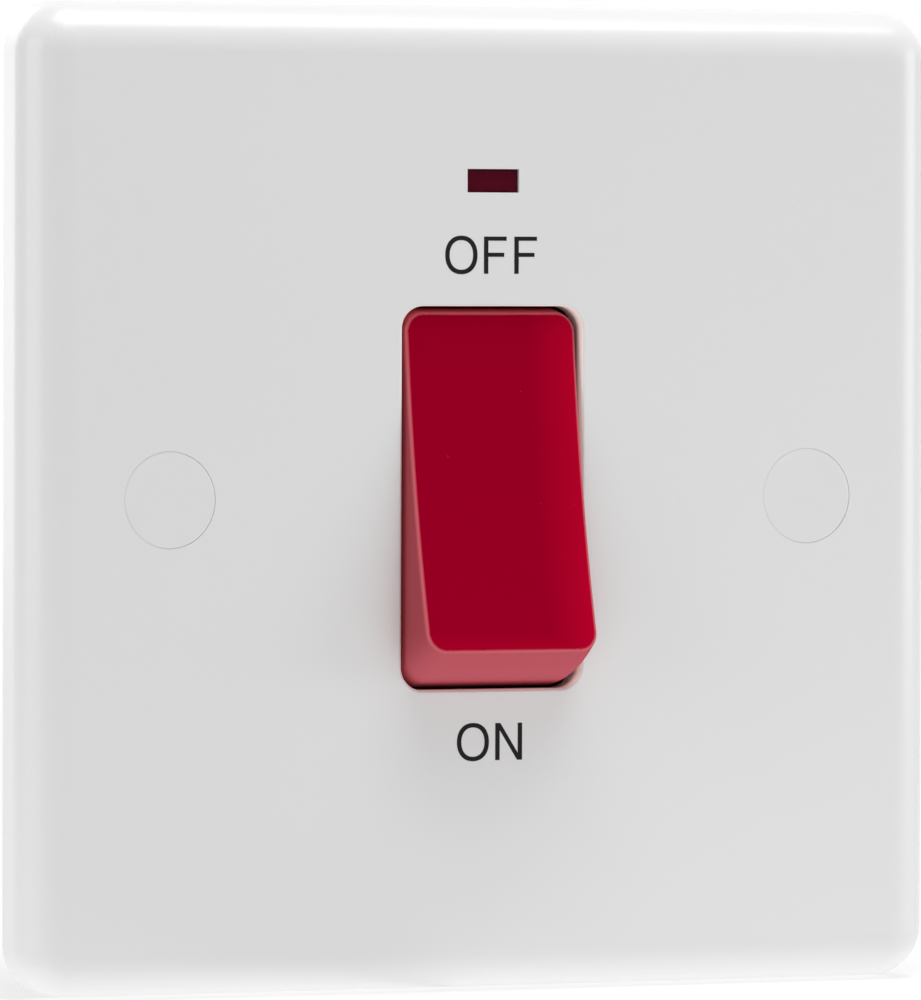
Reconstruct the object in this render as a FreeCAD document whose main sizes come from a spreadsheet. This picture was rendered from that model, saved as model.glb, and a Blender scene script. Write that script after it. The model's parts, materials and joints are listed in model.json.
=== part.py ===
import FreeCAD, Part
import math
import os
import re
import Sketcher

# Cooker control unit: a square moulded plate with a double-pole rocker switch and a neon.
# Millimetres. +X right and +Z up as seen from the room, +Y into the wall. The origin is the
# middle of the fixing screw pattern, on the wall plane that the rim of the plate closes on.

# Driving sizes
SIZES = {
    # Front plate
    "plate_size": 86.0,
    "plate_depth": 6.7,
    "plate_corner": 4.5,
    "plate_edge_margin": 0.2,
    "plate_skin": 2.6,
    "plate_side_wall": 2.4,
    "plate_inner_bevel": 1.4,
    "aperture_width": 17.0,
    "aperture_height": 33.5,
    "aperture_corner": 2.0,
    "aperture_edge": 0.3,
    "plate_rib": 1.4,
    "plate_rib_gap": 0.4,
    "plate_post_length": 3.3,
    # Fixing screws and their caps
    "fixing_pitch": 60.3,
    "fixing_screw": 3.5,
    "fixing_screw_length": 25.0,
    "fixing_hole": 3.9,
    "fixing_head_side_gap": 0.2,
    "fixing_head_gap": 0.05,
    "fixing_head_dome": 0.8,
    "fixing_head_room": 1.1,
    "fixing_screw_point": 0.5,
    "fixing_slot_width": 0.9,
    "fixing_slot_depth": 1.4,
    "fixing_boss": 11.5,
    "fixing_boss_gap": 0.6,
    "cap_diameter": 8.25,
    "cap_gap": 0.1,
    "cap_thickness": 1.6,
    "cap_step": 0.475,
    "cap_skirt_wall": 0.75,
    "cap_skirt_length": 1.0,
    "cap_skirt_gap": 0.05,
    "cap_edge": 0.15,
    # Neon window, lamp and resistor
    "neon_height": 27.7,
    "window_width": 4.9,
    "window_height": 2.05,
    "lens_gap": 0.05,
    "lens_recess": 0.25,
    "lens_edge": 0.1,
    "lens_flange_width": 9.0,
    "lens_flange_height": 5.2,
    "lens_flange_thickness": 1.1,
    "light_window_width": 7.0,
    "light_window_height": 3.4,
    "lamp_diameter": 5.4,
    "lamp_length": 12.0,
    "lamp_tip": 1.6,
    "lamp_front_gap": 0.2,
    "lamp_seat_gap": 0.05,
    "neon_box_end_room": 1.8,
    "neon_box_side_room": 0.6,
    "neon_box_wall": 1.2,
    "neon_box_front": 1.0,
    "lamp_rib": 1.2,
    "lamp_rib_inset": 1.0,
    "lamp_rib_depth": 2.5,
    "resistor_diameter": 2.4,
    "resistor_gap": 0.4,
    "lead_diameter": 0.6,
    "lead_reach": 0.5,
    "lead_step": 0.6,
    "lead_inset": 0.6,
    "lead_stub": 1.0,
    "lead_foot": 4.0,
    # Rocker
    "rocker_tilt": 11.2,
    "rocker_side_gap": 0.4,
    "rocker_face_rise": 6.77,
    "rocker_face_radius": 145.8,
    "rocker_rear": 2.6,
    "rocker_corner": 1.8,
    "rocker_edge": 0.45,
    "rocker_skin": 2.0,
    "rocker_side_wall": 1.0,
    "rocker_end_wall": 1.85,
    "rocker_rib": 1.0,
    "rocker_rib_height": 2.4,
    "trunnion_diameter": 4.0,
    "trunnion_inset": 0.2,
    "trunnion_gap": 0.05,
    # Plungers and springs
    "plunger_length": 9.0,
    "plunger_diameter": 4.2,
    "plunger_gap": 0.05,
    "plunger_top": 0.4,
    "plunger_shoulder": 5.6,
    "plunger_nose": 3.0,
    "plunger_pocket": 3.0,
    "plunger_pocket_end": 3.6,
    "plunger_nose_round": 1.45,
    "guide_diameter": 6.1,
    "guide_sink": 0.15,
    "guide_end": 3.4,
    "guide_bore_top": 3.6,
    "spring_diameter": 2.8,
    "spring_wire": 0.4,
    "spring_turns": 5.0,
    "spring_end_gap": 0.1,
    # Moving contacts
    "contact_vee": 13.0,
    "contact_tilt": 9.0,
    "contact_clearance": 0.18,
    "contact_thickness": 1.0,
    "contact_width": 4.6,
    "contact_long_arm": 11.2,
    "contact_short_arm": 8.4,
    "knuckle_diameter": 1.4,
    "knuckle_rise": 1.1,
    "knuckle_gap": 0.05,
    "tip_diameter": 3.6,
    "tip_thickness": 0.9,
    "tip_place": 9.6,
    "tip_edge": 0.35,
    "tip_closing_gap": 0.15,
    # Contact strips and saddles
    "strip_thickness": 1.2,
    "strip_width": 4.8,
    "strip_clearance": 0.52,
    "strip_tip_margin": 0.48,
    "strip_step": 1.3,
    "strip_neck": 2.0,
    "strip_lap": 9.2,
    "strip_gap": 0.1,
    "saddle_half_length": 1.5,
    "saddle_mouth": 0.15,
    "saddle_overhang": 0.6,
    # Cable terminals and their screws
    "terminal_width": 10.8,
    "terminal_front_wall": 1.5,
    "terminal_rear_wall": 3.5,
    "terminal_bore": 7.0,
    "terminal_length": 14.0,
    "terminal_end_wall": 1.3,
    "terminal_edge": 0.5,
    "terminal_gap": 0.1,
    "screw_diameter": 4.5,
    "screw_thread_gap": 0.05,
    "screw_length": 6.4,
    "screw_inset": 3.6,
    "screw_edge": 0.4,
    "screw_slot_width": 0.8,
    "screw_slot_depth": 1.3,
    "screw_access_gap": 0.4,
    "cable_entry": 8.0,
    # Earth terminal and its screws
    "earth_width": 7.6,
    "earth_side_wall": 1.1,
    "earth_front_wall": 1.4,
    "earth_rear_wall": 3.0,
    "earth_bore": 5.4,
    "earth_length": 12.0,
    "earth_screw": 3.5,
    "earth_screw_length": 5.6,
    "earth_screw_inset": 3.2,
    "earth_entry": 6.4,
    "earth_key_half_width": 2.5,
    "earth_key_inset": 1.8,
    # Frame and base
    "housing_corner": 2.0,
    "housing_wall": 1.8,
    "housing_end_wall": 1.5,
    "collar_side_gap": 0.1,
    "collar_end_gap": 0.35,
    "collar_wall": 2.2,
    "bearing_pad": 0.5,
    "bearing_pad_gap": 0.1,
    "bearing_pad_inset": 0.3,
    "partition_half_width": 0.8,
    "partition_rise": 6.5,
    "partition_end_gap": 0.9,
    "frame_rib": 1.2,
    "flange_thickness": 2.4,
    "floor_thickness": 1.8,
    "tower_wall": 1.5,
    "tower_corner": 1.2,
    "tower_rear_wall": 3.3,
    "relief_inset": 0.7,
    # Screws that hold base, frame and plate together
    "post_inset": 4.0,
    "post_edge": 0.1,
    "post_diameter": 5.8,
    "base_screw": 2.9,
    "base_screw_gap": 0.1,
    "base_screw_head": 5.4,
    "base_screw_head_gap": 0.1,
    "base_screw_head_height": 1.8,
    "base_screw_bevel": 0.5,
    "pilot_floor": 0.5,
    "pilot_end_gap": 0.2,
}

doc = FreeCAD.newDocument("cooker_control_unit")
sheet = doc.addObject("Spreadsheet::Sheet", "Sizes")
for row, (alias, size) in enumerate(SIZES.items(), start=1):
    sheet.set(f"A{row}", alias)
    sheet.set(f"B{row}", str(size))
    sheet.setAlias(f"B{row}", alias)
doc.recompute()


# Tools for bound expressions, sketches and features
def bind(text):
    """Point each size named in an expression at its cell in the sheet."""
    return re.sub(r"[a-z_]+", lambda word: "Sizes." + word[0] if word[0] in SIZES else word[0], text)


def value(text):
    """The number that an expression on the sizes gives."""
    return float(sheet.evalExpression(bind(text)))


def origin_plane(body, role):
    return next(plane for plane in body.Origin.OriginFeatures if plane.Role == role)


PLANES = {"x": "YZ_Plane", "y": "XZ_Plane", "z": "XY_Plane"}


def new_sketch(body, name, axis, level, sideways="0"):
    """A sketch across an axis of the body at a level along it. Across y it shows x and z."""
    sketch = body.newObject("Sketcher::SketchObject", name)
    sketch.AttachmentSupport = [(origin_plane(body, PLANES[axis]), "")]
    sketch.MapMode = "FlatFace"
    outward = f"-1 * ({level})" if axis == "y" else f"{level}"
    sketch.setExpression("AttachmentOffset.Base.z", bind(outward))
    sketch.setExpression("AttachmentOffset.Base.x", bind(sideways))
    return sketch


def drive(sketch, kind, *where, size):
    """Add a dimension and bind it to an expression."""
    index = sketch.addConstraint(Sketcher.Constraint(kind, *where, value(size)))
    sketch.setExpression(f"Constraints[{index}]", bind(size))


def place_point(sketch, curve, point, across, up):
    """Hold a point of a curve at its two distances from the sketch's origin."""
    if abs(value(across)) < 1e-9:
        sketch.addConstraint(Sketcher.Constraint("PointOnObject", curve, point, -2))
    else:
        drive(sketch, "DistanceX", -1, 1, curve, point, size=across)
    if abs(value(up)) < 1e-9:
        sketch.addConstraint(Sketcher.Constraint("PointOnObject", curve, point, -1))
    else:
        drive(sketch, "DistanceY", -1, 1, curve, point, size=up)


def spot(across, up):
    return FreeCAD.Vector(across, up, 0)


def outline(*points):
    """A closed outline of straight lines through points given as pairs of expressions."""
    def draw(sketch):
        corners = [spot(value(across), value(up)) for across, up in points]
        lines = []
        for start, end in zip(corners, corners[1:] + corners[:1]):
            lines.append(sketch.addGeometry(Part.LineSegment(start, end)))
        for line, following in zip(lines, lines[1:] + lines[:1]):
            sketch.addConstraint(Sketcher.Constraint("Coincident", line, 2, following, 1))
        for line, (across, up) in zip(lines, points):
            place_point(sketch, line, 1, across, up)
    return draw


def rectangle(left, right, low, high):
    return outline((left, low), (right, low), (right, high), (left, high))


def disc(across, up, diameter):
    """A circle."""
    def draw(sketch):
        middle = spot(value(across), value(up))
        circle = sketch.addGeometry(Part.Circle(middle, FreeCAD.Vector(0, 0, 1), value(diameter) / 2))
        drive(sketch, "Diameter", circle, size=diameter)
        place_point(sketch, circle, 3, across, up)
    return draw


def rounded_rectangle(left, right, low, high, radius):
    """A rectangle whose corners are arcs of one radius."""
    def draw(sketch):
        x0, x1, y0, y1, r = (value(text) for text in (left, right, low, high, radius))
        middles = [(x1 - r, y0 + r), (x1 - r, y1 - r), (x0 + r, y1 - r), (x0 + r, y0 + r)]
        starts = [(x0 + r, y0), (x1, y0 + r), (x1 - r, y1), (x0, y1 - r)]
        ends = [(x1 - r, y0), (x1, y1 - r), (x0 + r, y1), (x0, y0 + r)]
        sides = []
        arcs = []
        for quarter in range(4):
            sides.append(sketch.addGeometry(Part.LineSegment(spot(*starts[quarter]), spot(*ends[quarter]))))
            circle = Part.Circle(spot(*middles[quarter]), FreeCAD.Vector(0, 0, 1), r)
            turn = math.radians(90 * quarter - 90)
            arcs.append(sketch.addGeometry(Part.ArcOfCircle(circle, turn, turn + math.radians(90))))
        for quarter in range(4):
            sketch.addConstraint(Sketcher.Constraint("Tangent", sides[quarter], 2, arcs[quarter], 1))
            following = sides[(quarter + 1) % 4]
            sketch.addConstraint(Sketcher.Constraint("Tangent", arcs[quarter], 2, following, 1))
            level = "Horizontal" if quarter % 2 == 0 else "Vertical"
            sketch.addConstraint(Sketcher.Constraint(level, sides[quarter]))
        drive(sketch, "Radius", arcs[0], size=radius)
        for arc in arcs[1:]:
            sketch.addConstraint(Sketcher.Constraint("Equal", arcs[0], arc))
        drive(sketch, "DistanceY", -1, 1, sides[0], 1, size=low)
        drive(sketch, "DistanceX", -1, 1, sides[1], 1, size=right)
        drive(sketch, "DistanceY", -1, 1, sides[2], 1, size=high)
        drive(sketch, "DistanceX", -1, 1, sides[3], 1, size=left)
    return draw


PARTS = []


def new_body(name):
    body = doc.addObject("PartDesign::Body", name)
    body.Label = name
    PARTS.append(body)
    return body


def filled_sketch(body, name, axis, level, shapes, sideways="0"):
    sketch = new_sketch(body, name + "_sketch", axis, level, sideways)
    for draw in shapes:
        draw(sketch)
    return sketch


def add(body, name, axis, low, high, *shapes):
    """Pad outlines drawn across an axis, from one level along it to another."""
    sketch = filled_sketch(body, name, axis, low, shapes)
    pad = body.newObject("PartDesign::Pad", name)
    pad.Profile = sketch
    pad.Reversed = axis == "y"
    pad.setExpression("Length", bind(f"({high}) - ({low})"))
    doc.recompute()
    return pad


def cut(body, name, axis, low, high, *shapes):
    """Pocket outlines drawn across an axis, from one level along it to another."""
    before = body.Shape.Volume
    sketch = filled_sketch(body, name, axis, low, shapes)
    pocket = body.newObject("PartDesign::Pocket", name)
    pocket.Profile = sketch
    pocket.Reversed = axis != "y"
    pocket.setExpression("Length", bind(f"({high}) - ({low})"))
    doc.recompute()
    if body.Shape.Volume >= before - 1e-6:
        raise RuntimeError(f"{name} cuts nothing")
    return pocket


def turned(body, name, *points):
    """Revolve a half outline of radii and heights about the body's own y axis."""
    sketch = filled_sketch(body, name, "z", "0", [outline(*points)])
    revolution = body.newObject("PartDesign::Revolution", name)
    revolution.Profile = sketch
    revolution.ReferenceAxis = (sketch, ["V_Axis"])
    revolution.Angle = 360
    doc.recompute()
    return revolution


def turned_out(body, name, across, *points):
    """Groove a half outline about a line along y at a distance across."""
    before = body.Shape.Volume
    sketch = filled_sketch(body, name, "z", "0", [outline(*points)], across)
    groove = body.newObject("PartDesign::Groove", name)
    groove.Profile = sketch
    groove.ReferenceAxis = (sketch, ["V_Axis"])
    groove.Angle = 360
    doc.recompute()
    if body.Shape.Volume >= before - 1e-6:
        raise RuntimeError(f"{name} cuts nothing")
    return groove


def edges_of(body, wanted):
    """Names of the edges of the body's last feature that a test on the edge accepts."""
    edges = enumerate(body.Tip.Shape.Edges, start=1)
    return [f"Edge{number}" for number, edge in edges if wanted(edge)]


def soften(body, name, kind, size, wanted):
    """Round or bevel the edges that a test accepts."""
    names = edges_of(body, wanted)
    if not names:
        raise RuntimeError(f"{name} finds no edge")
    shaped = body.Tip
    finish = body.newObject("PartDesign::" + kind, name)
    finish.Base = (shaped, names)
    finish.setExpression("Radius" if kind == "Fillet" else "Size", bind(size))
    body.Tip = finish
    doc.recompute()
    return finish


def near(first, second):
    return abs(first - second) < 1e-4


def lies_at(axis, level):
    """A test for edges that lie whole in the plane across an axis at a level."""
    number = "xyz".index(axis)
    height = value(level)

    def wanted(edge):
        box = edge.BoundBox
        low = (box.XMin, box.YMin, box.ZMin)[number]
        high = (box.XMax, box.YMax, box.ZMax)[number]
        return abs(low - height) < 1e-3 and abs(high - height) < 1e-3
    return wanted


def put(item, x="0", y="0", z="0", turn_axis=(1, 0, 0), turn=None):
    """Place a sub-part, turned about an axis through its own origin."""
    if turn is not None:
        item.Placement.Rotation = FreeCAD.Rotation(FreeCAD.Vector(*turn_axis), value(turn))
        item.setExpression("Placement.Rotation.Angle", bind(turn))
    item.setExpression("Placement.Base.x", bind(x))
    item.setExpression("Placement.Base.y", bind(y))
    item.setExpression("Placement.Base.z", bind(z))
    doc.recompute()


# Levels and places that several pieces share
SIDES = {"neutral": "-1", "live": "1"}
ENDS = {"supply": "-1", "load": "1"}
# From the front plate back into the wall
PLATE_FRONT = "(-1 * plate_depth)"
SKIN_REAR = "(plate_skin - plate_depth)"
FRAME_FRONT = f"({SKIN_REAR} + plate_post_length)"
PIVOT_Y = f"({SKIN_REAR} + bearing_pad + bearing_pad_gap + trunnion_diameter / 2)"
LENS_REAR = f"({SKIN_REAR} + lens_flange_thickness)"
NEON_BOX_INSIDE = f"({LENS_REAR} + neon_box_front)"
LAMP_Y = f"({NEON_BOX_INSIDE} + lamp_front_gap + lamp_diameter / 2)"
CONTACT_APEX = f"({PIVOT_Y} + plunger_length + contact_clearance)"
KNUCKLE_Y = f"({CONTACT_APEX} + knuckle_rise)"
SPLIT = f"({KNUCKLE_Y} + knuckle_diameter / 2 + strip_clearance)"
STRIP_REAR = f"({SPLIT} + strip_thickness)"
FLANGE_REAR = f"({SPLIT} + flange_thickness)"
FLOOR_REAR = f"({FLANGE_REAR} + floor_thickness)"
BORE_DEPTH = f"({STRIP_REAR} + terminal_front_wall + terminal_bore / 2)"
BORE_REAR = f"({BORE_DEPTH} + terminal_bore / 2)"
BLOCK_REAR = f"({BORE_REAR} + terminal_rear_wall)"
EARTH_BORE_REAR = f"({BLOCK_REAR} - earth_rear_wall)"
EARTH_BORE_DEPTH = f"({EARTH_BORE_REAR} - earth_bore / 2)"
EARTH_FRONT = f"({EARTH_BORE_DEPTH} - earth_bore / 2 - earth_front_wall)"
BASE_REAR = f"({BLOCK_REAR} + tower_rear_wall)"
# Up and down: the housing reaches as far as the neon box, and the terminals fill its ends
NEON_BOX_Z = "(lamp_diameter / 2 + neon_box_side_room)"
HALF_HEIGHT = f"(neon_height + {NEON_BOX_Z} + housing_end_wall)"
BLOCK_END = f"({HALF_HEIGHT} - terminal_end_wall)"
BLOCK_IN = f"({BLOCK_END} - terminal_length)"
EARTH_IN = f"({BLOCK_END} - earth_length)"
STRIP_END = f"({BLOCK_IN} + strip_lap)"
STRIP_SHOULDER = f"({BLOCK_IN} - strip_step)"
ROCKER_END = "(aperture_height / 2)"
ROCKER_CAVITY = f"({ROCKER_END} - rocker_end_wall)"
COLLAR_Z = "(aperture_height / 2 + collar_end_gap)"
# Across: terminals beside the earth block, then the tower walls and the posts
ROCKER_SIDE = "(aperture_width / 2 - rocker_side_gap)"
ROCKER_INSIDE = f"({ROCKER_SIDE} - rocker_side_wall)"
COLLAR_X = "(aperture_width / 2 + collar_side_gap)"
TRUNNION_REACH = f"({COLLAR_X} + collar_wall - trunnion_inset)"
POLE_X = f"({ROCKER_INSIDE} + guide_sink - guide_diameter / 2)"
BLOCK_X_IN = "(earth_width / 2 + 2 * terminal_gap + earth_side_wall)"
TERMINAL_X = f"({BLOCK_X_IN} + terminal_width / 2)"
BLOCK_X_OUT = f"({BLOCK_X_IN} + terminal_width)"
TOWER_X = f"({BLOCK_X_OUT} + terminal_gap + tower_wall)"
POST_X = f"({TOWER_X} + base_screw_head_gap + base_screw_head / 2)"
POST_Z = f"({HALF_HEIGHT} - post_inset)"
HALF_WIDTH = f"({POST_X} + post_diameter / 2 + post_edge)"
NEON_BOX_X = "(lamp_length / 2 + neon_box_end_room)"
POSTS = [(f"{a} * {POST_X}", f"{b} * {POST_Z}") for a in ("-1", "1") for b in ("-1", "1")]
# Fixing screws and caps
FIXING_X = "(fixing_pitch / 2)"
CAP_SEAT = f"({PLATE_FRONT} + cap_thickness)"
SKIRT_RADIUS = "(cap_diameter / 2 - cap_step)"
SEAT_Y = f"({CAP_SEAT} + cap_skirt_length + fixing_head_room)"
HEAD_RADIUS = f"({SKIRT_RADIUS} - fixing_head_side_gap)"


# Front plate: one white moulding, hollow behind, with bosses, posts and ribs on its rear
def make_plate():
    plate = new_body("front_plate")
    half = "(plate_size / 2)"
    add(plate, "slab", "y", PLATE_FRONT, "0",
        rounded_rectangle(f"-1 * {half}", half, f"-1 * {half}", half, "plate_corner"))
    front = lies_at("y", PLATE_FRONT)
    soften(plate, "front_round", "Fillet", "plate_corner - plate_edge_margin", front)
    inner = f"({half} - plate_side_wall)"
    cut(plate, "hollow", "y", SKIN_REAR, "0",
        rounded_rectangle(f"-1 * {inner}", inner, f"-1 * {inner}", inner,
                          "plate_corner - plate_side_wall"))
    soften(plate, "hollow_bevel", "Chamfer", "plate_inner_bevel", lies_at("y", SKIN_REAR))
    add(plate, "fixing_bosses", "y", SKIN_REAR, f"{FRAME_FRONT} - fixing_boss_gap",
        disc(f"-1 * {FIXING_X}", "0", "fixing_boss"), disc(FIXING_X, "0", "fixing_boss"))
    add(plate, "posts", "y", SKIN_REAR, FRAME_FRONT,
        *[disc(x, z, "post_diameter") for x, z in POSTS])
    rib_end = f"({half} - plate_side_wall / 2)"
    boss = "(fixing_boss / 2 - 0.5 * plate_rib)"
    post = f"({POST_Z} + post_diameter / 2 - 0.5 * plate_rib)"
    ribs = []
    for side in ("-1", "1"):
        left, right = sorted([f"{side} * ({FIXING_X} + {boss})", f"{side} * {rib_end}"], key=value)
        ribs.append(rectangle(left, right, "-0.5 * plate_rib", "0.5 * plate_rib"))
        for end in ("-1", "1"):
            low, high = sorted([f"{end} * {boss}", f"{end} * {rib_end}"], key=value)
            ribs.append(rectangle(f"{side} * {FIXING_X} - 0.5 * plate_rib",
                                  f"{side} * {FIXING_X} + 0.5 * plate_rib", low, high))
            low, high = sorted([f"{end} * {post}", f"{end} * {rib_end}"], key=value)
            ribs.append(rectangle(f"{side} * {POST_X} - 0.5 * plate_rib",
                                  f"{side} * {POST_X} + 0.5 * plate_rib", low, high))
    add(plate, "ribs", "y", SKIN_REAR, f"{FRAME_FRONT} - plate_rib_gap", *ribs)
    pads = []
    for side in ("-1", "1"):
        left, right = sorted([f"{side} * ({COLLAR_X} + bearing_pad_inset)",
                              f"{side} * ({TRUNNION_REACH} - bearing_pad_inset)"], key=value)
        pads.append(rectangle(left, right, "bearing_pad_inset - trunnion_diameter / 2",
                              "trunnion_diameter / 2 - bearing_pad_inset"))
    add(plate, "bearing_pads", "y", SKIN_REAR, f"{SKIN_REAR} + bearing_pad", *pads)
    cut(plate, "aperture", "y", PLATE_FRONT, SKIN_REAR,
        rounded_rectangle("-0.5 * aperture_width", "0.5 * aperture_width",
                          "-0.5 * aperture_height", "0.5 * aperture_height", "aperture_corner"))
    cut(plate, "window", "y", PLATE_FRONT, SKIN_REAR,
        rectangle("-0.5 * window_width", "0.5 * window_width",
                  "neon_height - 0.5 * window_height", "neon_height + 0.5 * window_height"))
    cut(plate, "pilot_holes", "y", f"{SKIN_REAR} + pilot_floor - pilot_end_gap", FRAME_FRONT,
        *[disc(x, z, "base_screw") for x, z in POSTS])
    cap_radius = "(cap_diameter / 2 + cap_gap)"
    skirt_radius = f"({SKIRT_RADIUS} + cap_skirt_gap)"
    hole_radius = "(fixing_hole / 2)"
    for word, side in (("left", "-1"), ("right", "1")):
        turned_out(plate, f"fixing_bore_{word}", f"{side} * {FIXING_X}",
                   ("0", f"{PLATE_FRONT} - 1"), (cap_radius, f"{PLATE_FRONT} - 1"),
                   (cap_radius, CAP_SEAT), (skirt_radius, CAP_SEAT), (skirt_radius, SEAT_Y),
                   (HEAD_RADIUS, SEAT_Y), (hole_radius, f"{SEAT_Y} + {HEAD_RADIUS} - {hole_radius}"),
                   (hole_radius, "0"), ("0", "0"))
    half_width = value("aperture_width / 2") + 0.01
    half_height = value("aperture_height / 2") + 0.01

    def around_aperture(edge):
        box = edge.BoundBox
        return (front(edge) and max(-box.XMin, box.XMax) < half_width
                and max(-box.ZMin, box.ZMax) < half_height)
    soften(plate, "aperture_round", "Fillet", "aperture_edge", around_aperture)


# Screw caps: white discs with a short skirt that presses into the fixing bores
def make_cap(word, side):
    cap = new_body(f"screw_cap_{word}")
    radius = "cap_diameter / 2"
    skirt_end = "cap_thickness + cap_skirt_length"
    turned(cap, "cap", ("0", "0"), (f"{radius} - cap_edge", "0"), (radius, "cap_edge"),
           (radius, "cap_thickness"), (SKIRT_RADIUS, "cap_thickness"), (SKIRT_RADIUS, skirt_end),
           (f"{SKIRT_RADIUS} - cap_skirt_wall", skirt_end),
           (f"{SKIRT_RADIUS} - cap_skirt_wall", "cap_thickness"), ("0", "cap_thickness"))
    put(cap, f"{side} * {FIXING_X}", PLATE_FRONT)


# Fixing screws: raised countersunk heads under the caps, shanks out to the wall box
def make_fixing_screw(word, side):
    screw = new_body(f"fixing_screw_{word}")
    head = f"({HEAD_RADIUS} - fixing_head_gap)"
    shank = "(fixing_screw / 2)"
    turned(screw, "screw", ("0", "-1 * fixing_head_dome"),
           (f"0.6 * {head}", "-0.75 * fixing_head_dome"), (head, "0"),
           (shank, f"{head} - {shank}"), (shank, "fixing_screw_length - fixing_screw_point"),
           (f"{shank} - fixing_screw_point", "fixing_screw_length"), ("0", "fixing_screw_length"))
    cut(screw, "slot", "y", "-1 * fixing_head_dome", "fixing_slot_depth - fixing_head_dome",
        rectangle(f"-1.1 * {head}", f"1.1 * {head}",
                  "-0.5 * fixing_slot_width", "0.5 * fixing_slot_width"))
    put(screw, f"{side} * {FIXING_X}", SEAT_Y)


# Neon lens: a dark red bar in the window, with a flange behind the plate
def make_lens():
    lens = new_body("neon_lens")
    bar_front = f"({PLATE_FRONT} + lens_recess)"
    add(lens, "flange", "y", SKIN_REAR, LENS_REAR,
        rectangle("-0.5 * lens_flange_width", "0.5 * lens_flange_width",
                  "neon_height - 0.5 * lens_flange_height", "neon_height + 0.5 * lens_flange_height"))
    add(lens, "bar", "y", bar_front, SKIN_REAR,
        rectangle("lens_gap - 0.5 * window_width", "0.5 * window_width - lens_gap",
                  "neon_height - 0.5 * window_height + lens_gap",
                  "neon_height + 0.5 * window_height - lens_gap"))
    soften(lens, "bar_edge", "Chamfer", "lens_edge", lies_at("y", bar_front))


# Neon lamp: a glass tube across the housing with a pinched tip
def make_lamp():
    lamp = new_body("neon_lamp")
    radius = "(lamp_diameter / 2)"
    half = "(lamp_length / 2)"
    turned(lamp, "glass", ("0", f"-1 * {half}"), (f"0.75 * {radius}", f"-1 * {half}"),
           (radius, f"0.3 * {radius} - {half}"), (radius, f"{half} - lamp_tip - 0.5 * {radius}"),
           (f"0.55 * {radius}", f"{half} - lamp_tip"), (f"0.2 * {radius}", half), ("0", half))
    put(lamp, "0", LAMP_Y, "neon_height", (0, 0, 1), "-90")


# Resistor: a small barrel with raised ends, between the live lead and the lamp
RESISTOR_FRONT = f"({LAMP_Y} + lamp_diameter / 2 + resistor_gap)"
RESISTOR_REAR = f"({SPLIT} - lead_stub)"
LEAD_X = "(lamp_length / 2 + lead_reach)"
LEAD_Z = f"({STRIP_END} - lead_inset)"


def make_resistor():
    resistor = new_body("neon_resistor")
    radius = "(resistor_diameter / 2)"
    waist = f"(0.88 * {radius})"
    length = f"({RESISTOR_REAR} - {RESISTOR_FRONT})"
    turned(resistor, "barrel", ("0", "0"), (f"0.7 * {radius}", "0"), (radius, f"0.3 * {radius}"),
           (radius, f"1.1 * {radius}"), (waist, f"1.4 * {radius}"),
           (waist, f"{length} - 1.4 * {radius}"), (radius, f"{length} - 1.1 * {radius}"),
           (radius, f"{length} - 0.3 * {radius}"), (f"0.7 * {radius}", length), ("0", length))
    put(resistor, LEAD_X, RESISTOR_FRONT, LEAD_Z)


# Leads: bent wires from the lamp and its resistor back to the load strips
WIRE_SIDES = 6


def bent_wire(points, bend, diameter):
    """A six-sided wire along straight runs joined by arcs of one bend radius."""
    corners = [FreeCAD.Vector(*point) for point in points]
    edges = []
    last = corners[0]
    for before, corner, after in zip(corners, corners[1:], corners[2:]):
        inward = (before - corner).normalize()
        outward = (after - corner).normalize()
        opening = inward.getAngle(outward)
        reach = bend / math.tan(opening / 2)
        start = corner + inward * reach
        end = corner + outward * reach
        middle_way = (inward + outward).normalize()
        middle = corner + middle_way * (bend / math.sin(opening / 2) - bend)
        edges.append(Part.LineSegment(last, start).toShape())
        edges.append(Part.Arc(start, middle, end).toShape())
        last = end
    edges.append(Part.LineSegment(last, corners[-1]).toShape())
    path = Part.Wire(edges)
    rim = Part.Circle(corners[0], corners[1] - corners[0], diameter / 2)
    flats = [rim.value(2 * math.pi * side / WIRE_SIDES) for side in range(WIRE_SIDES)]
    section = Part.makePolygon(flats + flats[:1])
    return path.makePipeShell([section], True, True)


def make_leads():
    lamp_end = value("lamp_length / 2")
    lamp_y = value(LAMP_Y)
    lamp_z = value("neon_height")
    lead_x = value(LEAD_X)
    lead_z = value(LEAD_Z)
    bend_x = value(f"{LEAD_X} + lead_step")
    split = value(SPLIT)
    foot = value(f"{SPLIT} - lead_foot")
    front = value(RESISTOR_FRONT)
    turn_in = value(f"{RESISTOR_FRONT} - 2 * lead_step")
    wire = value("lead_diameter")
    runs = {
        "neon_lead_neutral": [(-lamp_end, lamp_y, lamp_z), (-bend_x, lamp_y, lamp_z),
                              (-bend_x, foot, lead_z), (-bend_x, split, lead_z)],
        "neon_lead_resistor": [(lamp_end, lamp_y, lamp_z), (bend_x, lamp_y, lamp_z),
                               (lead_x, turn_in, lead_z), (lead_x, front, lead_z)],
    }
    for name, points in runs.items():
        lead = doc.addObject("Part::Feature", name)
        lead.Shape = bent_wire(points, wire, wire)
        lead.Placement = FreeCAD.Placement()
        lead.Label = name
        PARTS.append(lead)
    stub = new_body("neon_lead_live")
    add(stub, "wire", "y", "0", "lead_stub", disc("0", "0", "lead_diameter"))
    put(stub, LEAD_X, RESISTOR_REAR, LEAD_Z)


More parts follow.
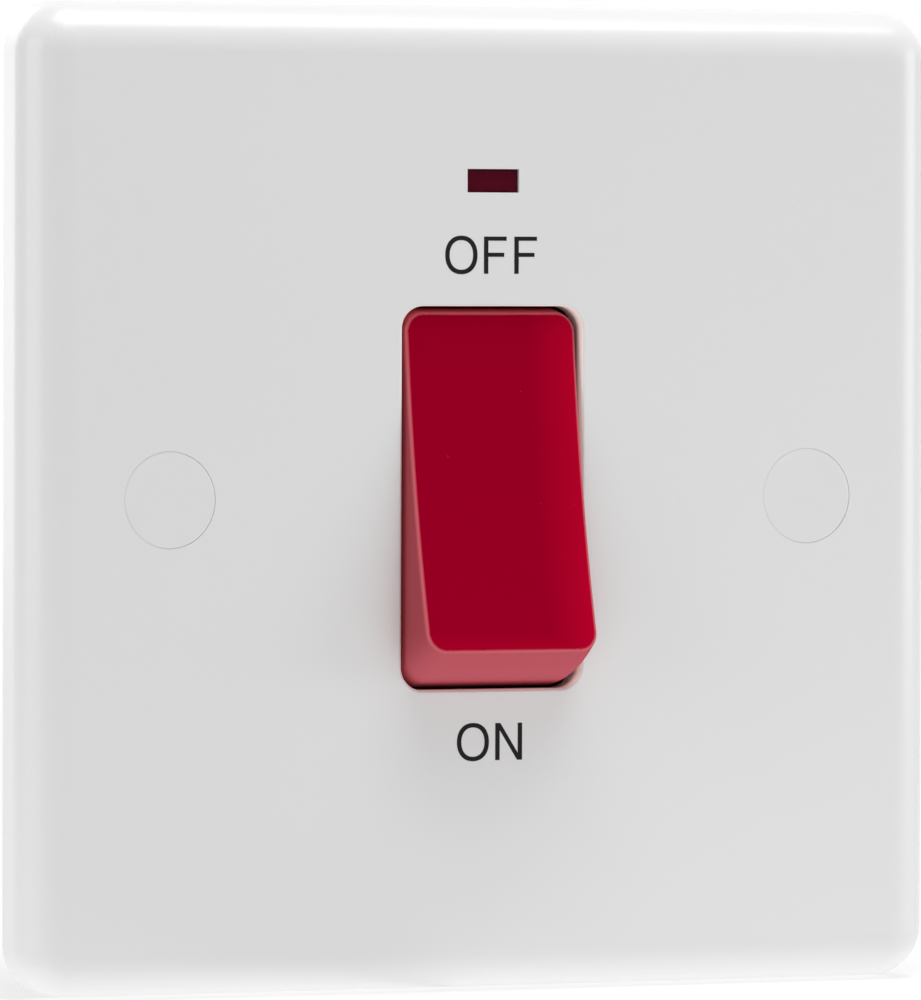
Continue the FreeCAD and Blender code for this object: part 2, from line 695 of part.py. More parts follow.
# Rocker: a red hollow moulding, concave along its face, on two trunnions. It is drawn level
# about its pivot and laid over to the off side, with its upper end pressed in.
def rocker_profile(sketch):
    """Side view across x: concave face, round ends about the pivot, flat rear."""
    centre = value("rocker_face_rise + rocker_face_radius")
    face = value("rocker_face_radius")
    end = value(ROCKER_END)
    rear = value("rocker_rear")
    depth = -(end ** 2 - face ** 2 + centre ** 2) / (2 * centre)
    reach = math.sqrt(end ** 2 - depth ** 2)
    rear_reach = math.sqrt(end ** 2 - rear ** 2)
    normal = FreeCAD.Vector(0, 0, 1)
    hollow = Part.Circle(spot(-centre, 0), normal, face)
    half = math.asin(reach / face)
    face_arc = sketch.addGeometry(Part.ArcOfCircle(hollow, -half, half))
    round_end = Part.Circle(spot(0, 0), normal, end)
    low_angle = math.atan2(rear_reach, rear)
    high_angle = math.atan2(reach, depth)
    upper = sketch.addGeometry(Part.ArcOfCircle(round_end, low_angle, high_angle))
    lower = sketch.addGeometry(Part.ArcOfCircle(round_end, -high_angle, -low_angle))
    back = sketch.addGeometry(Part.LineSegment(spot(rear, -rear_reach), spot(rear, rear_reach)))
    sketch.addConstraint(Sketcher.Constraint("Coincident", face_arc, 2, upper, 2))
    sketch.addConstraint(Sketcher.Constraint("Coincident", face_arc, 1, lower, 1))
    sketch.addConstraint(Sketcher.Constraint("Coincident", lower, 2, back, 1))
    sketch.addConstraint(Sketcher.Constraint("Coincident", back, 2, upper, 1))
    sketch.addConstraint(Sketcher.Constraint("Coincident", upper, 3, -1, 1))
    sketch.addConstraint(Sketcher.Constraint("Coincident", lower, 3, -1, 1))
    sketch.addConstraint(Sketcher.Constraint("Vertical", back))
    drive(sketch, "Radius", upper, size=ROCKER_END)
    drive(sketch, "Radius", face_arc, size="rocker_face_radius")
    place_point(sketch, face_arc, 3, "-1 * (rocker_face_rise + rocker_face_radius)", "0")
    drive(sketch, "DistanceX", -1, 1, back, 1, size="rocker_rear")


def make_rocker():
    rocker = new_body("rocker")
    add(rocker, "block", "x", f"-1 * {ROCKER_SIDE}", ROCKER_SIDE, rocker_profile)
    half_width = value(ROCKER_SIDE)
    end_radius = value(ROCKER_END)

    def end_corner(edge):
        box = edge.BoundBox
        on_side = near(box.XMin, box.XMax) and near(abs(box.XMin), half_width)
        round_end = abs(box.ZMin) > 0.8 * end_radius or abs(box.ZMax) > 0.8 * end_radius
        return on_side and round_end and box.ZMin * box.ZMax > 0
    soften(rocker, "corners", "Fillet", "rocker_corner", end_corner)
    face_limit = -value("rocker_face_rise") + 1e-3
    soften(rocker, "face_round", "Fillet", "rocker_edge",
           lambda edge: edge.BoundBox.YMax < face_limit)
    add(rocker, "trunnions", "x", f"-1 * {TRUNNION_REACH}", TRUNNION_REACH,
        disc("0", "0", "trunnion_diameter"))
    cavity_front = "(rocker_skin - rocker_face_rise)"
    cut(rocker, "cavity", "y", cavity_front, "rocker_rear + 1",
        rectangle(f"-1 * {ROCKER_INSIDE}", ROCKER_INSIDE, f"-1 * {ROCKER_CAVITY}", ROCKER_CAVITY))
    rib_front = f"({cavity_front} - 0.5 * rocker_rib)"
    rib_end = f"({ROCKER_CAVITY} + 0.5 * rocker_side_wall)"
    poles = (f"-1 * {POLE_X}", POLE_X)
    add(rocker, "guides", "y", rib_front, "guide_end",
        *[disc(pole, "0", "guide_diameter") for pole in poles])
    ribs = []
    for pole in poles:
        for low, high in ((f"-1 * {rib_end}", "-0.4 * guide_diameter"),
                          ("0.4 * guide_diameter", rib_end)):
            ribs.append(rectangle(f"{pole} - 0.5 * rocker_rib", f"{pole} + 0.5 * rocker_rib",
                                  low, high))
    add(rocker, "ribs", "y", rib_front, f"{cavity_front} + rocker_rib_height", *ribs)
    cut(rocker, "guide_bores", "y", "-1 * guide_bore_top", "guide_end",
        *[disc(pole, "0", "plunger_diameter + 2 * plunger_gap") for pole in poles])
    put(rocker, "0", PIVOT_Y, "0", (1, 0, 0), "-1 * rocker_tilt")


# Plungers: moulded pins with a blunt round nose in four bevels, hollow behind for the spring
def make_plunger(word, side):
    plunger = new_body(f"plunger_{word}")
    shank = "(plunger_diameter / 2)"
    nose = "(plunger_nose / 2)"
    pocket = "(plunger_pocket / 2)"
    turned(plunger, "pin", (pocket, "plunger_top"), (shank, "plunger_top"),
           (shank, "plunger_shoulder"), (nose, "plunger_shoulder"),
           (nose, "plunger_length - plunger_nose_round"),
           (f"0.9 * {nose}", "plunger_length - 0.56 * plunger_nose_round"),
           (f"0.65 * {nose}", "plunger_length - 0.23 * plunger_nose_round"),
           (f"0.3 * {nose}", "plunger_length - 0.05 * plunger_nose_round"), ("0", "plunger_length"),
           ("0", "plunger_pocket_end"), (pocket, "plunger_pocket_end"))
    put(plunger, f"{side} * {POLE_X}", PIVOT_Y, "0", (1, 0, 0), "-1 * rocker_tilt")


# Plunger springs: a few turns of wire between the rocker and its plunger. Fine wire is drawn
# with six flat sides here and in the leads.
def make_spring(word, side):
    helix = doc.addObject("Part::Helix", f"spring_path_{word}")
    start = "(spring_end_gap + spring_wire / 2 - guide_bore_top)"
    end = "(plunger_pocket_end - spring_end_gap - spring_wire / 2)"
    helix.setExpression("Height", bind(f"{end} - {start}"))
    helix.setExpression("Pitch", bind(f"({end} - {start}) / spring_turns"))
    helix.setExpression("Radius", bind("(spring_diameter - spring_wire) / 2"))
    wire = doc.addObject("Part::RegularPolygon", f"spring_wire_{word}")
    wire.Polygon = WIRE_SIDES
    wire.setExpression("Circumradius", bind("spring_wire / 2"))
    put(wire, "(spring_diameter - spring_wire) / 2", "0", "0", (1, 0, 0), "90")
    spring = doc.addObject("Part::Sweep", f"plunger_spring_{word}")
    spring.Sections = [wire]
    spring.Spine = (helix, ["Edge1"])
    spring.Solid = True
    spring.Frenet = True
    spring.Label = f"plunger_spring_{word}"
    PARTS.append(spring)
    put(spring, f"{side} * {POLE_X}", f"{PIVOT_Y} + ({start}) * cos(rocker_tilt)",
        f"-1 * ({start}) * sin(rocker_tilt)", (1, 0, 0), "-90 - rocker_tilt")


# Moving contacts: bent copper strips that rock on a bead, with a silver tip on the long arm.
# Each is drawn about its bead with both arms alike and laid over to the off side.
def make_moving_contact(word, side):
    contact = new_body(f"moving_contact_{word}")
    slope = "sin(contact_vee)"
    rise = "cos(contact_vee)"
    front = "-1 * knuckle_rise"
    half = "(contact_width / 2)"

    def arm_end(arm, way, thick):
        across = f"{front} - {arm} * {slope} + {thick} * {rise}"
        return across, f"{way} * ({arm} * {rise} + {thick} * {slope})"
    add(contact, "strip", "x", f"-1 * {half}", half,
        outline((front, "0"), arm_end("contact_short_arm", "-1", "0"),
                arm_end("contact_short_arm", "-1", "contact_thickness"),
                (f"{front} + contact_thickness / {rise}", "0"),
                arm_end("contact_long_arm", "1", "contact_thickness"),
                arm_end("contact_long_arm", "1", "0")))
    add(contact, "bead", "x", f"-1 * {half}", half, disc("0", "0", "knuckle_diameter"))
    put(contact, f"{side} * {POLE_X}", KNUCKLE_Y, "0", (1, 0, 0), "contact_tilt")
    tip = new_body(f"moving_tip_{word}")
    add(tip, "button", "y", "0", "tip_thickness", disc("0", "0", "tip_diameter"))
    soften(tip, "crown", "Chamfer", "tip_edge", lies_at("y", "tip_thickness"))
    lean = "(contact_vee + contact_tilt)"
    put(tip, f"{side} * {POLE_X}",
        f"{KNUCKLE_Y} - knuckle_rise * cos(contact_tilt) - tip_place * sin({lean})"
        f" + contact_thickness * cos({lean})",
        f"-1 * knuckle_rise * sin(contact_tilt) + tip_place * cos({lean})"
        f" + contact_thickness * sin({lean})", (1, 0, 0), lean)


# Fixed tips: where the moving tips land when the switch is on
LANDING_LEAN = "(contact_vee - contact_tilt)"
LANDING_OFFSET = "(contact_thickness + tip_thickness)"
LANDING_Y = (f"({KNUCKLE_Y} - knuckle_rise * cos(contact_tilt) - tip_place * sin({LANDING_LEAN})"
             f" + {LANDING_OFFSET} * cos({LANDING_LEAN}) + tip_closing_gap)")
LANDING_Z = (f"(knuckle_rise * sin(contact_tilt) + tip_place * cos({LANDING_LEAN})"
             f" + {LANDING_OFFSET} * sin({LANDING_LEAN}))")
LOAD_STRIP_IN = f"({LANDING_Z} - tip_diameter / 2 - strip_tip_margin)"
SADDLE_END = "(-1 * saddle_half_length - saddle_overhang)"


def strip_outline(side, end, inner_end, grow):
    """An L-shaped strip: a finger under the contact, and a foot as wide as its terminal."""
    finger_in = f"{side} * ({POLE_X} - strip_width / 2 - {grow})"
    finger_out = f"{side} * ({POLE_X} + strip_width / 2 + {grow})"
    foot_in = f"{side} * ({BLOCK_X_IN} - {grow})"
    foot_out = f"{side} * ({BLOCK_X_OUT} + {grow})"
    inner = f"{end} * ({inner_end} - {grow})"
    shoulder = f"{end} * ({STRIP_SHOULDER} - {grow})"
    step = f"{end} * ({STRIP_SHOULDER} + strip_neck + {grow})"
    outer = f"{end} * ({STRIP_END} + {grow})"
    return outline((finger_in, inner), (finger_out, inner), (finger_out, shoulder),
                   (foot_out, shoulder), (foot_out, outer), (foot_in, outer), (foot_in, step),
                   (finger_in, step))


# Contact strips: brass, from under the contacts out to the terminals. The supply strips carry
# the saddles that the contacts rock in, and the load strips carry the fixed tips.
def make_strips(word, side):
    load = new_body(f"load_strip_{word}")
    add(load, "strip", "y", SPLIT, STRIP_REAR, strip_outline(side, "1", LOAD_STRIP_IN, "0"))
    tip = new_body(f"fixed_tip_{word}")
    add(tip, "button", "y", LANDING_Y, SPLIT, disc(f"{side} * {POLE_X}", LANDING_Z, "tip_diameter"))
    soften(tip, "crown", "Chamfer", "tip_edge / 2", lies_at("y", LANDING_Y))
    supply = new_body(f"supply_strip_{word}")
    add(supply, "strip", "y", SPLIT, STRIP_REAR, strip_outline(side, "-1", SADDLE_END, "0"))
    left, right = sorted([f"{side} * ({POLE_X} - strip_width / 2)",
                          f"{side} * ({POLE_X} + strip_width / 2)"], key=value)
    add(supply, "saddle", "y", f"{KNUCKLE_Y} + saddle_mouth", SPLIT,
        rectangle(left, right, "-1 * saddle_half_length", "saddle_half_length"))
    cut(supply, "saddle_groove", "x", left, right,
        disc(KNUCKLE_Y, "0", "knuckle_diameter + 2 * knuckle_gap"))


# Cable terminals: brass blocks bored for the cable, each with two clamping screws
SCREW_PLACES = {"inner": f"({BLOCK_IN} + screw_inset)", "outer": f"({BLOCK_END} - screw_inset)"}
EARTH_SCREW_PLACES = {"inner": f"-1 * ({EARTH_IN} + earth_screw_inset)",
                      "outer": f"-1 * ({BLOCK_END} - earth_screw_inset)"}


def make_terminal(pole, side, way, end):
    block = new_body(f"terminal_{pole}_{way}")
    left, right = sorted([f"{side} * {BLOCK_X_IN}", f"{side} * {BLOCK_X_OUT}"], key=value)
    low, high = sorted([f"{end} * {BLOCK_IN}", f"{end} * {BLOCK_END}"], key=value)
    add(block, "block", "y", STRIP_REAR, BLOCK_REAR, rectangle(left, right, low, high))
    soften(block, "long_edges", "Chamfer", "terminal_edge",
           lambda edge: near(edge.BoundBox.YMin, edge.BoundBox.YMax)
           and near(edge.BoundBox.XMin, edge.BoundBox.XMax))
    middle = f"{side} * {TERMINAL_X}"
    cut(block, "cable_bore", "z", low, high, disc(middle, BORE_DEPTH, "terminal_bore"))
    cut(block, "screw_holes", "y", BORE_DEPTH, BLOCK_REAR,
        *[disc(middle, f"{end} * {place}", "screw_diameter + 2 * screw_thread_gap")
          for place in SCREW_PLACES.values()])
    for word, place in SCREW_PLACES.items():
        make_clamp_screw(f"clamp_screw_{pole}_{way}_{word}", middle, BORE_REAR, f"{end} * {place}",
                         "screw_diameter", "screw_length")


def make_clamp_screw(name, x, y, z, diameter, length):
    """A headless brass screw with a slot in its outer end, its point just clear of the bore."""
    screw = new_body(name)
    radius = f"({diameter} / 2)"
    turned(screw, "shank", ("0", "0"), (f"{radius} - screw_edge", "0"), (radius, "screw_edge"),
           (radius, f"{length} - 0.5 * screw_edge"), (f"{radius} - 0.5 * screw_edge", length),
           ("0", length))
    cut(screw, "slot", "y", f"{length} - screw_slot_depth", length,
        rectangle(f"-1 * {diameter}", diameter, "-0.5 * screw_slot_width", "0.5 * screw_slot_width"))
    put(screw, x, y, z)


# Earth terminal: a smaller brass block between the two at the supply end
def make_earth():
    block = new_body("earth_terminal")
    add(block, "block", "y", EARTH_FRONT, BLOCK_REAR,
        rectangle("-0.5 * earth_width", "0.5 * earth_width", f"-1 * {BLOCK_END}",
                  f"-1 * {EARTH_IN}"))
    cut(block, "cable_bore", "z", f"-1 * {BLOCK_END}", f"-1 * {EARTH_IN}",
        disc("0", EARTH_BORE_DEPTH, "earth_bore"))
    cut(block, "screw_holes", "y", EARTH_BORE_DEPTH, BLOCK_REAR,
        *[disc("0", place, "earth_screw + 2 * screw_thread_gap")
          for place in EARTH_SCREW_PLACES.values()])
    for word, place in EARTH_SCREW_PLACES.items():
        make_clamp_screw(f"clamp_screw_earth_{word}", "0", EARTH_BORE_REAR, place, "earth_screw",
                         "earth_screw_length")


# Mechanism frame: the front half of the housing. A collar guides the rocker and carries its
# trunnions, a box holds the neon lamp, and ribs press the contact strips on the base.
def make_frame():
    frame = new_body("mechanism_frame")
    add(frame, "shell", "y", FRAME_FRONT, SPLIT,
        rounded_rectangle(f"-1 * {HALF_WIDTH}", HALF_WIDTH, f"-1 * {HALF_HEIGHT}", HALF_HEIGHT,
                          "housing_corner"))
    inside_x = f"({HALF_WIDTH} - housing_wall)"
    inside_z = f"({HALF_HEIGHT} - housing_wall)"
    cut(frame, "hollow", "y", f"{FRAME_FRONT} + housing_wall", SPLIT,
        rectangle(f"-1 * {inside_x}", inside_x, f"-1 * {inside_z}", inside_z))
    collar_x = f"({COLLAR_X} + collar_wall)"
    collar_z = f"({COLLAR_Z} + housing_wall)"
    add(frame, "collar", "y", SKIN_REAR, SPLIT,
        rectangle(f"-1 * {collar_x}", collar_x, f"-1 * {collar_z}", collar_z))
    box_x = f"({NEON_BOX_X} + neon_box_wall)"
    box_z = f"({NEON_BOX_Z} + neon_box_wall)"
    add(frame, "neon_box", "y", LENS_REAR, SPLIT,
        rectangle(f"-1 * {box_x}", box_x, f"neon_height - {box_z}", f"neon_height + {box_z}"))
    cut(frame, "collar_opening", "y", SKIN_REAR, SPLIT,
        rectangle(f"-1 * {COLLAR_X}", COLLAR_X, f"-1 * {COLLAR_Z}", COLLAR_Z))
    cut(frame, "neon_box_opening", "y", NEON_BOX_INSIDE, SPLIT,
        rectangle(f"-1 * {NEON_BOX_X}", NEON_BOX_X, f"neon_height - {NEON_BOX_Z}",
                  f"neon_height + {NEON_BOX_Z}"))
    cut(frame, "light_window", "y", LENS_REAR, NEON_BOX_INSIDE,
        rectangle("-0.5 * light_window_width", "0.5 * light_window_width",
                  "neon_height - 0.5 * light_window_height",
                  "neon_height + 0.5 * light_window_height"))
    rib_x = "(lamp_length / 2 - lamp_rib_inset)"
    rib_z = f"({NEON_BOX_Z} + 0.5 * neon_box_wall)"
    rib_rear = f"({LAMP_Y} + lamp_rib_depth)"
    add(frame, "lamp_ribs", "y", NEON_BOX_INSIDE, rib_rear,
        *[rectangle(f"{side} * {rib_x} - 0.5 * lamp_rib", f"{side} * {rib_x} + 0.5 * lamp_rib",
                    f"neon_height - {rib_z}", f"neon_height + {rib_z}")
          for side in SIDES.values()])
    reach = f"({rib_x} + lamp_rib / 2)"
    cradle = "(lamp_diameter / 2 + lamp_seat_gap)"
    cut(frame, "lamp_cradles", "x", f"-1 * {reach}", reach,
        disc(LAMP_Y, "neon_height", f"2 * {cradle}"))
    cut(frame, "lamp_ways_in", "x", f"-1 * {reach}", reach,
        rectangle(LAMP_Y, rib_rear, f"neon_height - {cradle}", f"neon_height + {cradle}"))
    partition_z = f"({ROCKER_CAVITY} - partition_end_gap)"
    add(frame, "partition", "y", f"{SPLIT} - partition_rise", SPLIT,
        rectangle("-1 * partition_half_width", "partition_half_width",
                  f"-1 * {partition_z}", partition_z))
    floor = f"{FRAME_FRONT} + 0.5 * housing_wall"
    add(frame, "posts", "y", floor, SPLIT, *[disc(x, z, "post_diameter") for x, z in POSTS])
    press_ribs = []
    for side in SIDES.values():
        for end in ENDS.values():
            low, high = sorted([f"{end} * ({collar_z} - 0.5 * housing_wall)",
                                f"{end} * ({inside_z} + 0.5 * housing_wall)"], key=value)
            press_ribs.append(rectangle(f"{side} * {TERMINAL_X} - 0.5 * frame_rib",
                                        f"{side} * {TERMINAL_X} + 0.5 * frame_rib", low, high))
    add(frame, "press_ribs", "y", floor, SPLIT, *press_ribs)
    add(frame, "earth_key", "y", floor, EARTH_FRONT,
        rectangle("-1 * earth_key_half_width", "earth_key_half_width",
                  f"earth_key_inset - {BLOCK_END}", f"-1 * ({EARTH_IN} + earth_key_inset)"))
    cut(frame, "post_holes", "y", FRAME_FRONT, SPLIT,
        *[disc(x, z, "base_screw + 2 * base_screw_gap") for x, z in POSTS])
    bearing = "(trunnion_diameter / 2 + trunnion_gap)"
    cut(frame, "bearings", "x", f"-1 * {collar_x}", collar_x, disc(PIVOT_Y, "0", f"2 * {bearing}"))
    cut(frame, "bearing_mouths", "x", f"-1 * {collar_x}", collar_x,
        rectangle(SKIN_REAR, PIVOT_Y, f"-1 * {bearing}", bearing))


# Base: the rear half of the housing. Two towers hold the terminals, open to the cables at
# their ends and to the screwdriver behind.
def make_base():
    base = new_body("switch_base")
    add(base, "flange", "y", SPLIT, FLANGE_REAR,
        rounded_rectangle(f"-1 * {HALF_WIDTH}", HALF_WIDTH, f"-1 * {HALF_HEIGHT}", HALF_HEIGHT,
                          "housing_corner"))
    tower_in = f"({BLOCK_IN} - terminal_gap - tower_wall)"
    middle = f"{FLANGE_REAR} - 0.5 * flange_thickness"
    add(base, "floor", "y", middle, FLOOR_REAR,
        rectangle(f"-1 * {TOWER_X}", TOWER_X, f"-1 * {tower_in}", tower_in))
    add(base, "towers", "y", middle, BASE_REAR,
        rectangle(f"-1 * {TOWER_X}", TOWER_X, tower_in, HALF_HEIGHT),
        rectangle(f"-1 * {TOWER_X}", TOWER_X, f"-1 * {HALF_HEIGHT}", f"-1 * {tower_in}"))
    rear = value(BASE_REAR)
    soften(base, "tower_corners", "Chamfer", "tower_corner",
           lambda edge: near(edge.BoundBox.YMax, rear) and edge.BoundBox.YLength > 1)
    soften(base, "tower_rims", "Chamfer", "tower_corner / 2", lies_at("y", BASE_REAR))
    for pole, side in SIDES.items():
        for way, end in ENDS.items():
            left, right = sorted([f"{side} * ({BLOCK_X_IN} - terminal_gap)",
                                  f"{side} * ({BLOCK_X_OUT} + terminal_gap)"], key=value)
            low, high = sorted([f"{end} * ({BLOCK_IN} - terminal_gap)",
                                f"{end} * ({BLOCK_END} + terminal_gap)"], key=value)
            cut(base, f"pocket_{pole}_{way}", "y", SPLIT, BLOCK_REAR,
                rectangle(left, right, low, high))
            inner_end = LOAD_STRIP_IN if way == "load" else SADDLE_END
            cut(base, f"strip_recess_{pole}_{way}", "y", SPLIT, STRIP_REAR,
                strip_outline(side, end, inner_end, "strip_gap"))
            entry_low, entry_high = sorted([f"{end} * {BLOCK_END}", f"{end} * {HALF_HEIGHT}"],
                                           key=value)
            cut(base, f"cable_entry_{pole}_{way}", "z", entry_low, entry_high,
                disc(f"{side} * {TERMINAL_X}", BORE_DEPTH, "cable_entry"))
            cut(base, f"screw_access_{pole}_{way}", "y", BLOCK_REAR, BASE_REAR,
                *[disc(f"{side} * {TERMINAL_X}", f"{end} * {place}",
                       "screw_diameter + 2 * screw_access_gap") for place in SCREW_PLACES.values()])
    earth_x = "(earth_width / 2 + terminal_gap)"
    cut(base, "earth_pocket", "y", SPLIT, BLOCK_REAR,
        rectangle(f"-1 * {earth_x}", earth_x, f"-1 * ({BLOCK_END} + terminal_gap)",
                  f"terminal_gap - {EARTH_IN}"))
    cut(base, "earth_entry", "z", f"-1 * {HALF_HEIGHT}", f"-1 * {BLOCK_END}",
        disc("0", EARTH_BORE_DEPTH, "earth_entry"))
    cut(base, "earth_access", "y", BLOCK_REAR, BASE_REAR,
        *[disc("0", place, "earth_screw + 2 * screw_access_gap")
          for place in EARTH_SCREW_PLACES.values()])
    relief_x = "(earth_width / 2 - relief_inset)"
    cut(base, "tower_relief", "y", FLOOR_REAR, BASE_REAR,
        rectangle(f"-1 * {relief_x}", relief_x, BLOCK_IN, BLOCK_END))
    cut(base, "post_holes", "y", SPLIT, FLANGE_REAR,
        *[disc(x, z, "base_screw + 2 * base_screw_gap") for x, z in POSTS])


# Base screws: four alike, through base and frame into the posts of the plate
def make_base_screws():
    screws = []
    tip = f"({SKIN_REAR} + pilot_floor)"
    top = f"({FLANGE_REAR} + base_screw_head_height)"
    for number, (x, z) in enumerate(POSTS, start=1):
        shank = doc.addObject("Part::Cylinder", f"base_screw_shank_{number}")
        shank.setExpression("Radius", bind("base_screw / 2"))
        shank.setExpression("Height", bind(f"{FLANGE_REAR} - {tip}"))
        put(shank, x, tip, z, (1, 0, 0), "-90")
        head = doc.addObject("Part::Cylinder", f"base_screw_head_{number}")
        head.setExpression("Radius", bind("base_screw_head / 2"))
        head.setExpression("Height", bind("base_screw_head_height"))
        put(head, x, FLANGE_REAR, z, (1, 0, 0), "-90")
        whole = doc.addObject("Part::Fuse", f"base_screw_{number}")
        whole.Base = shank
        whole.Tool = head
        doc.recompute()
        rim = lies_at("y", top)
        bevel = value("base_screw_bevel")
        bevelled = doc.addObject("Part::Chamfer", f"base_screw_bevelled_{number}")
        bevelled.Base = whole
        bevelled.Edges = [(index, bevel, bevel)
                          for index, edge in enumerate(whole.Shape.Edges, start=1) if rim(edge)]
        slot = doc.addObject("Part::Box", f"base_screw_slot_{number}")
        slot.setExpression("Length", bind("2 * base_screw_head"))
        slot.setExpression("Width", bind("screw_slot_depth"))
        slot.setExpression("Height", bind("screw_slot_width"))
        put(slot, f"{x} - base_screw_head", f"{top} - screw_slot_depth",
            f"{z} - 0.5 * screw_slot_width")
        slotted = doc.addObject("Part::Cut", f"base_screw_slotted_{number}")
        slotted.Base = bevelled
        slotted.Tool = slot
        screws.append(slotted)
    group = doc.addObject("Part::Compound", "base_screws")
    group.Links = screws
    group.Label = "base_screws"
    PARTS.append(group)


make_plate()
for word, side in (("left", "-1"), ("right", "1")):
    make_cap(word, side)
    make_fixing_screw(word, side)
make_lens()
make_lamp()
make_resistor()
make_leads()
make_rocker()
for word, side in SIDES.items():
    make_plunger(word, side)
    make_spring(word, side)
    make_moving_contact(word, side)
    make_strips(word, side)
    for way, end in ENDS.items():
        make_terminal(word, side, way, end)
make_earth()
make_frame()
make_base()
make_base_screws()
doc.recompute()

# Nothing is written unless every object is sound
for item in doc.Objects:
    if {"Invalid", "Error"} & set(item.State):
        raise RuntimeError(f"{item.Label} failed: {item.State}")
for item in PARTS:
    if item.Shape.isNull() or not item.Shape.isValid() or not item.Shape.Solids:
        raise RuntimeError(f"{item.Label} has no sound solid")
os.makedirs("parts", exist_ok=True)
for item in PARTS:
    item.Shape.exportStep(f"parts/{item.Label}.step")
print(f"{len(PARTS)} sub-parts written")
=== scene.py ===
import json
import math

import bmesh
import bpy
from mathutils import Matrix, Vector

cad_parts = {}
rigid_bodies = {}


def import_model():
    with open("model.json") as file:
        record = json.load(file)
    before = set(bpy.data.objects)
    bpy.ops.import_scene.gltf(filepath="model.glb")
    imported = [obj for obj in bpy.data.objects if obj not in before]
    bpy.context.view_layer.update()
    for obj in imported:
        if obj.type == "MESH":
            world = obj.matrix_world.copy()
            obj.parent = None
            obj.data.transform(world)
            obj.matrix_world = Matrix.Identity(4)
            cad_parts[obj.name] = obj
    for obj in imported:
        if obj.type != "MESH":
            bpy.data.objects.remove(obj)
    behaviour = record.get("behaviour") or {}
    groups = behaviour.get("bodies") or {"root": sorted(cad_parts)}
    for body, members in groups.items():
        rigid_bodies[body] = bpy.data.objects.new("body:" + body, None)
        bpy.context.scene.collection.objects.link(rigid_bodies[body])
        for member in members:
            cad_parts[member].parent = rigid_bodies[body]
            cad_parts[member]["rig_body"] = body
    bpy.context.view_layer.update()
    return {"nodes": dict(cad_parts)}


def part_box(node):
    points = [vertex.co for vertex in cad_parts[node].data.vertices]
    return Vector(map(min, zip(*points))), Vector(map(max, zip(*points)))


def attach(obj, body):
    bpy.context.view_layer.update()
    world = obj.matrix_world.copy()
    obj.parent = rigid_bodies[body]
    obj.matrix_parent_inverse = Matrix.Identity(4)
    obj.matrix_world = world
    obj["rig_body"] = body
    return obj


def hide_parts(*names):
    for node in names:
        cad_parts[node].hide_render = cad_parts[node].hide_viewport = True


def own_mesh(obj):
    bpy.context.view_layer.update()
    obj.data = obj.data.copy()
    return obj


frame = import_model()


# The front plate is one urea moulding with a soft gloss, 86 mm square, with a broad round edge
# and the openings for rocker, neon and screws. Close up it has the faint peel of a polished
# mould. The walls of the rocker opening are painted paler and given a faint painted glow, in place of the
# light that comes through the thin moulding.
class Wire:
    """One socket of a node tree. Arithmetic on it adds Math nodes."""

    def __init__(self, tree, socket):
        self.tree = tree
        self.socket = socket

    def math(self, operation, *others):
        return self.tree.node("ShaderNodeMath", {"operation": operation},
                              dict(enumerate((self, *others))))

    def ramp(self, start, end, first, last):
        """Goes evenly from first to last while this value goes from start to end."""
        return self.tree.node("ShaderNodeMapRange", sockets={0: self, 1: start, 2: end, 3: first, 4: last})

    def __add__(self, other):
        return self.math("ADD", other)

    def __radd__(self, other):
        return self.math("ADD", other)

    def __sub__(self, other):
        return self.math("SUBTRACT", other)

    def __rsub__(self, other):
        return self.tree.node("ShaderNodeMath", {"operation": "SUBTRACT"}, {0: other, 1: self})

    def __mul__(self, other):
        return self.math("MULTIPLY", other)

    def __rmul__(self, other):
        return self.math("MULTIPLY", other)

    def __truediv__(self, other):
        return self.math("DIVIDE", other)


class Tree:
    """A node tree, for a finish or for a shape, whose nodes all come from one method."""

    def __init__(self, tree):
        self.tree = tree

    def node(self, kind, settings=None, sockets=None, out=0):
        made = self.tree.nodes.new(kind)
        for name, setting in (settings or {}).items():
            if name == "stops":
                ramp = made.color_ramp
                while len(ramp.elements) < len(setting):
                    ramp.elements.new(1.0)
                for element, (place, colour) in zip(ramp.elements, setting):
                    element.position = place
                    element.color = (*colour, 1.0)
            else:
                setattr(made, name, setting)
        for name, feed in (sockets or {}).items():
            if isinstance(feed, Wire):
                self.tree.links.new(feed.socket, made.inputs[name])
            else:
                made.inputs[name].default_value = feed
        return Wire(self, made.outputs[out])

    def split(self, vector):
        """The three numbers of a vector."""
        parts = self.node("ShaderNodeSeparateXYZ", sockets={0: vector}).socket.node
        return [Wire(self, socket) for socket in parts.outputs]


class Finish(Tree):
    """A material on a Principled shader, read in the object's own coordinates."""

    def __init__(self, name):
        self.material = bpy.data.materials.new(name)
        self.material.use_nodes = True
        super().__init__(self.material.node_tree)
        self.shader = self.tree.nodes["Principled BSDF"]
        self.place = self.node("ShaderNodeTexCoord", out="Object")

    def noise(self, size_mm, detail=2.0, stretch=(1.0, 1.0, 1.0)):
        """Cloudy values from 0 to 1 with spots of about this size, drawn out along an axis."""
        spot = self.node("ShaderNodeMapping", sockets={"Vector": self.place, "Scale": stretch})
        return self.node("ShaderNodeTexNoise", sockets={"Vector": spot, "Scale": 1000.0 / size_mm,
                                                        "Detail": detail})

    def mix(self, share, first, second):
        return self.node("ShaderNodeMix", {"data_type": "RGBA"},
                         {"Factor": share, 6: first, 7: second}, out=2)

    def bump(self, height, depth_mm, strength=1.0):
        return self.node("ShaderNodeBump", sockets={"Height": height, "Distance": depth_mm / 1000.0,
                                                    "Strength": strength})

    def set(self, **sockets):
        for name, feed in sockets.items():
            target = self.shader.inputs[name.replace("_", " ")]
            if isinstance(feed, Wire):
                self.tree.links.new(feed.socket, target)
            else:
                target.default_value = feed
        return self.material


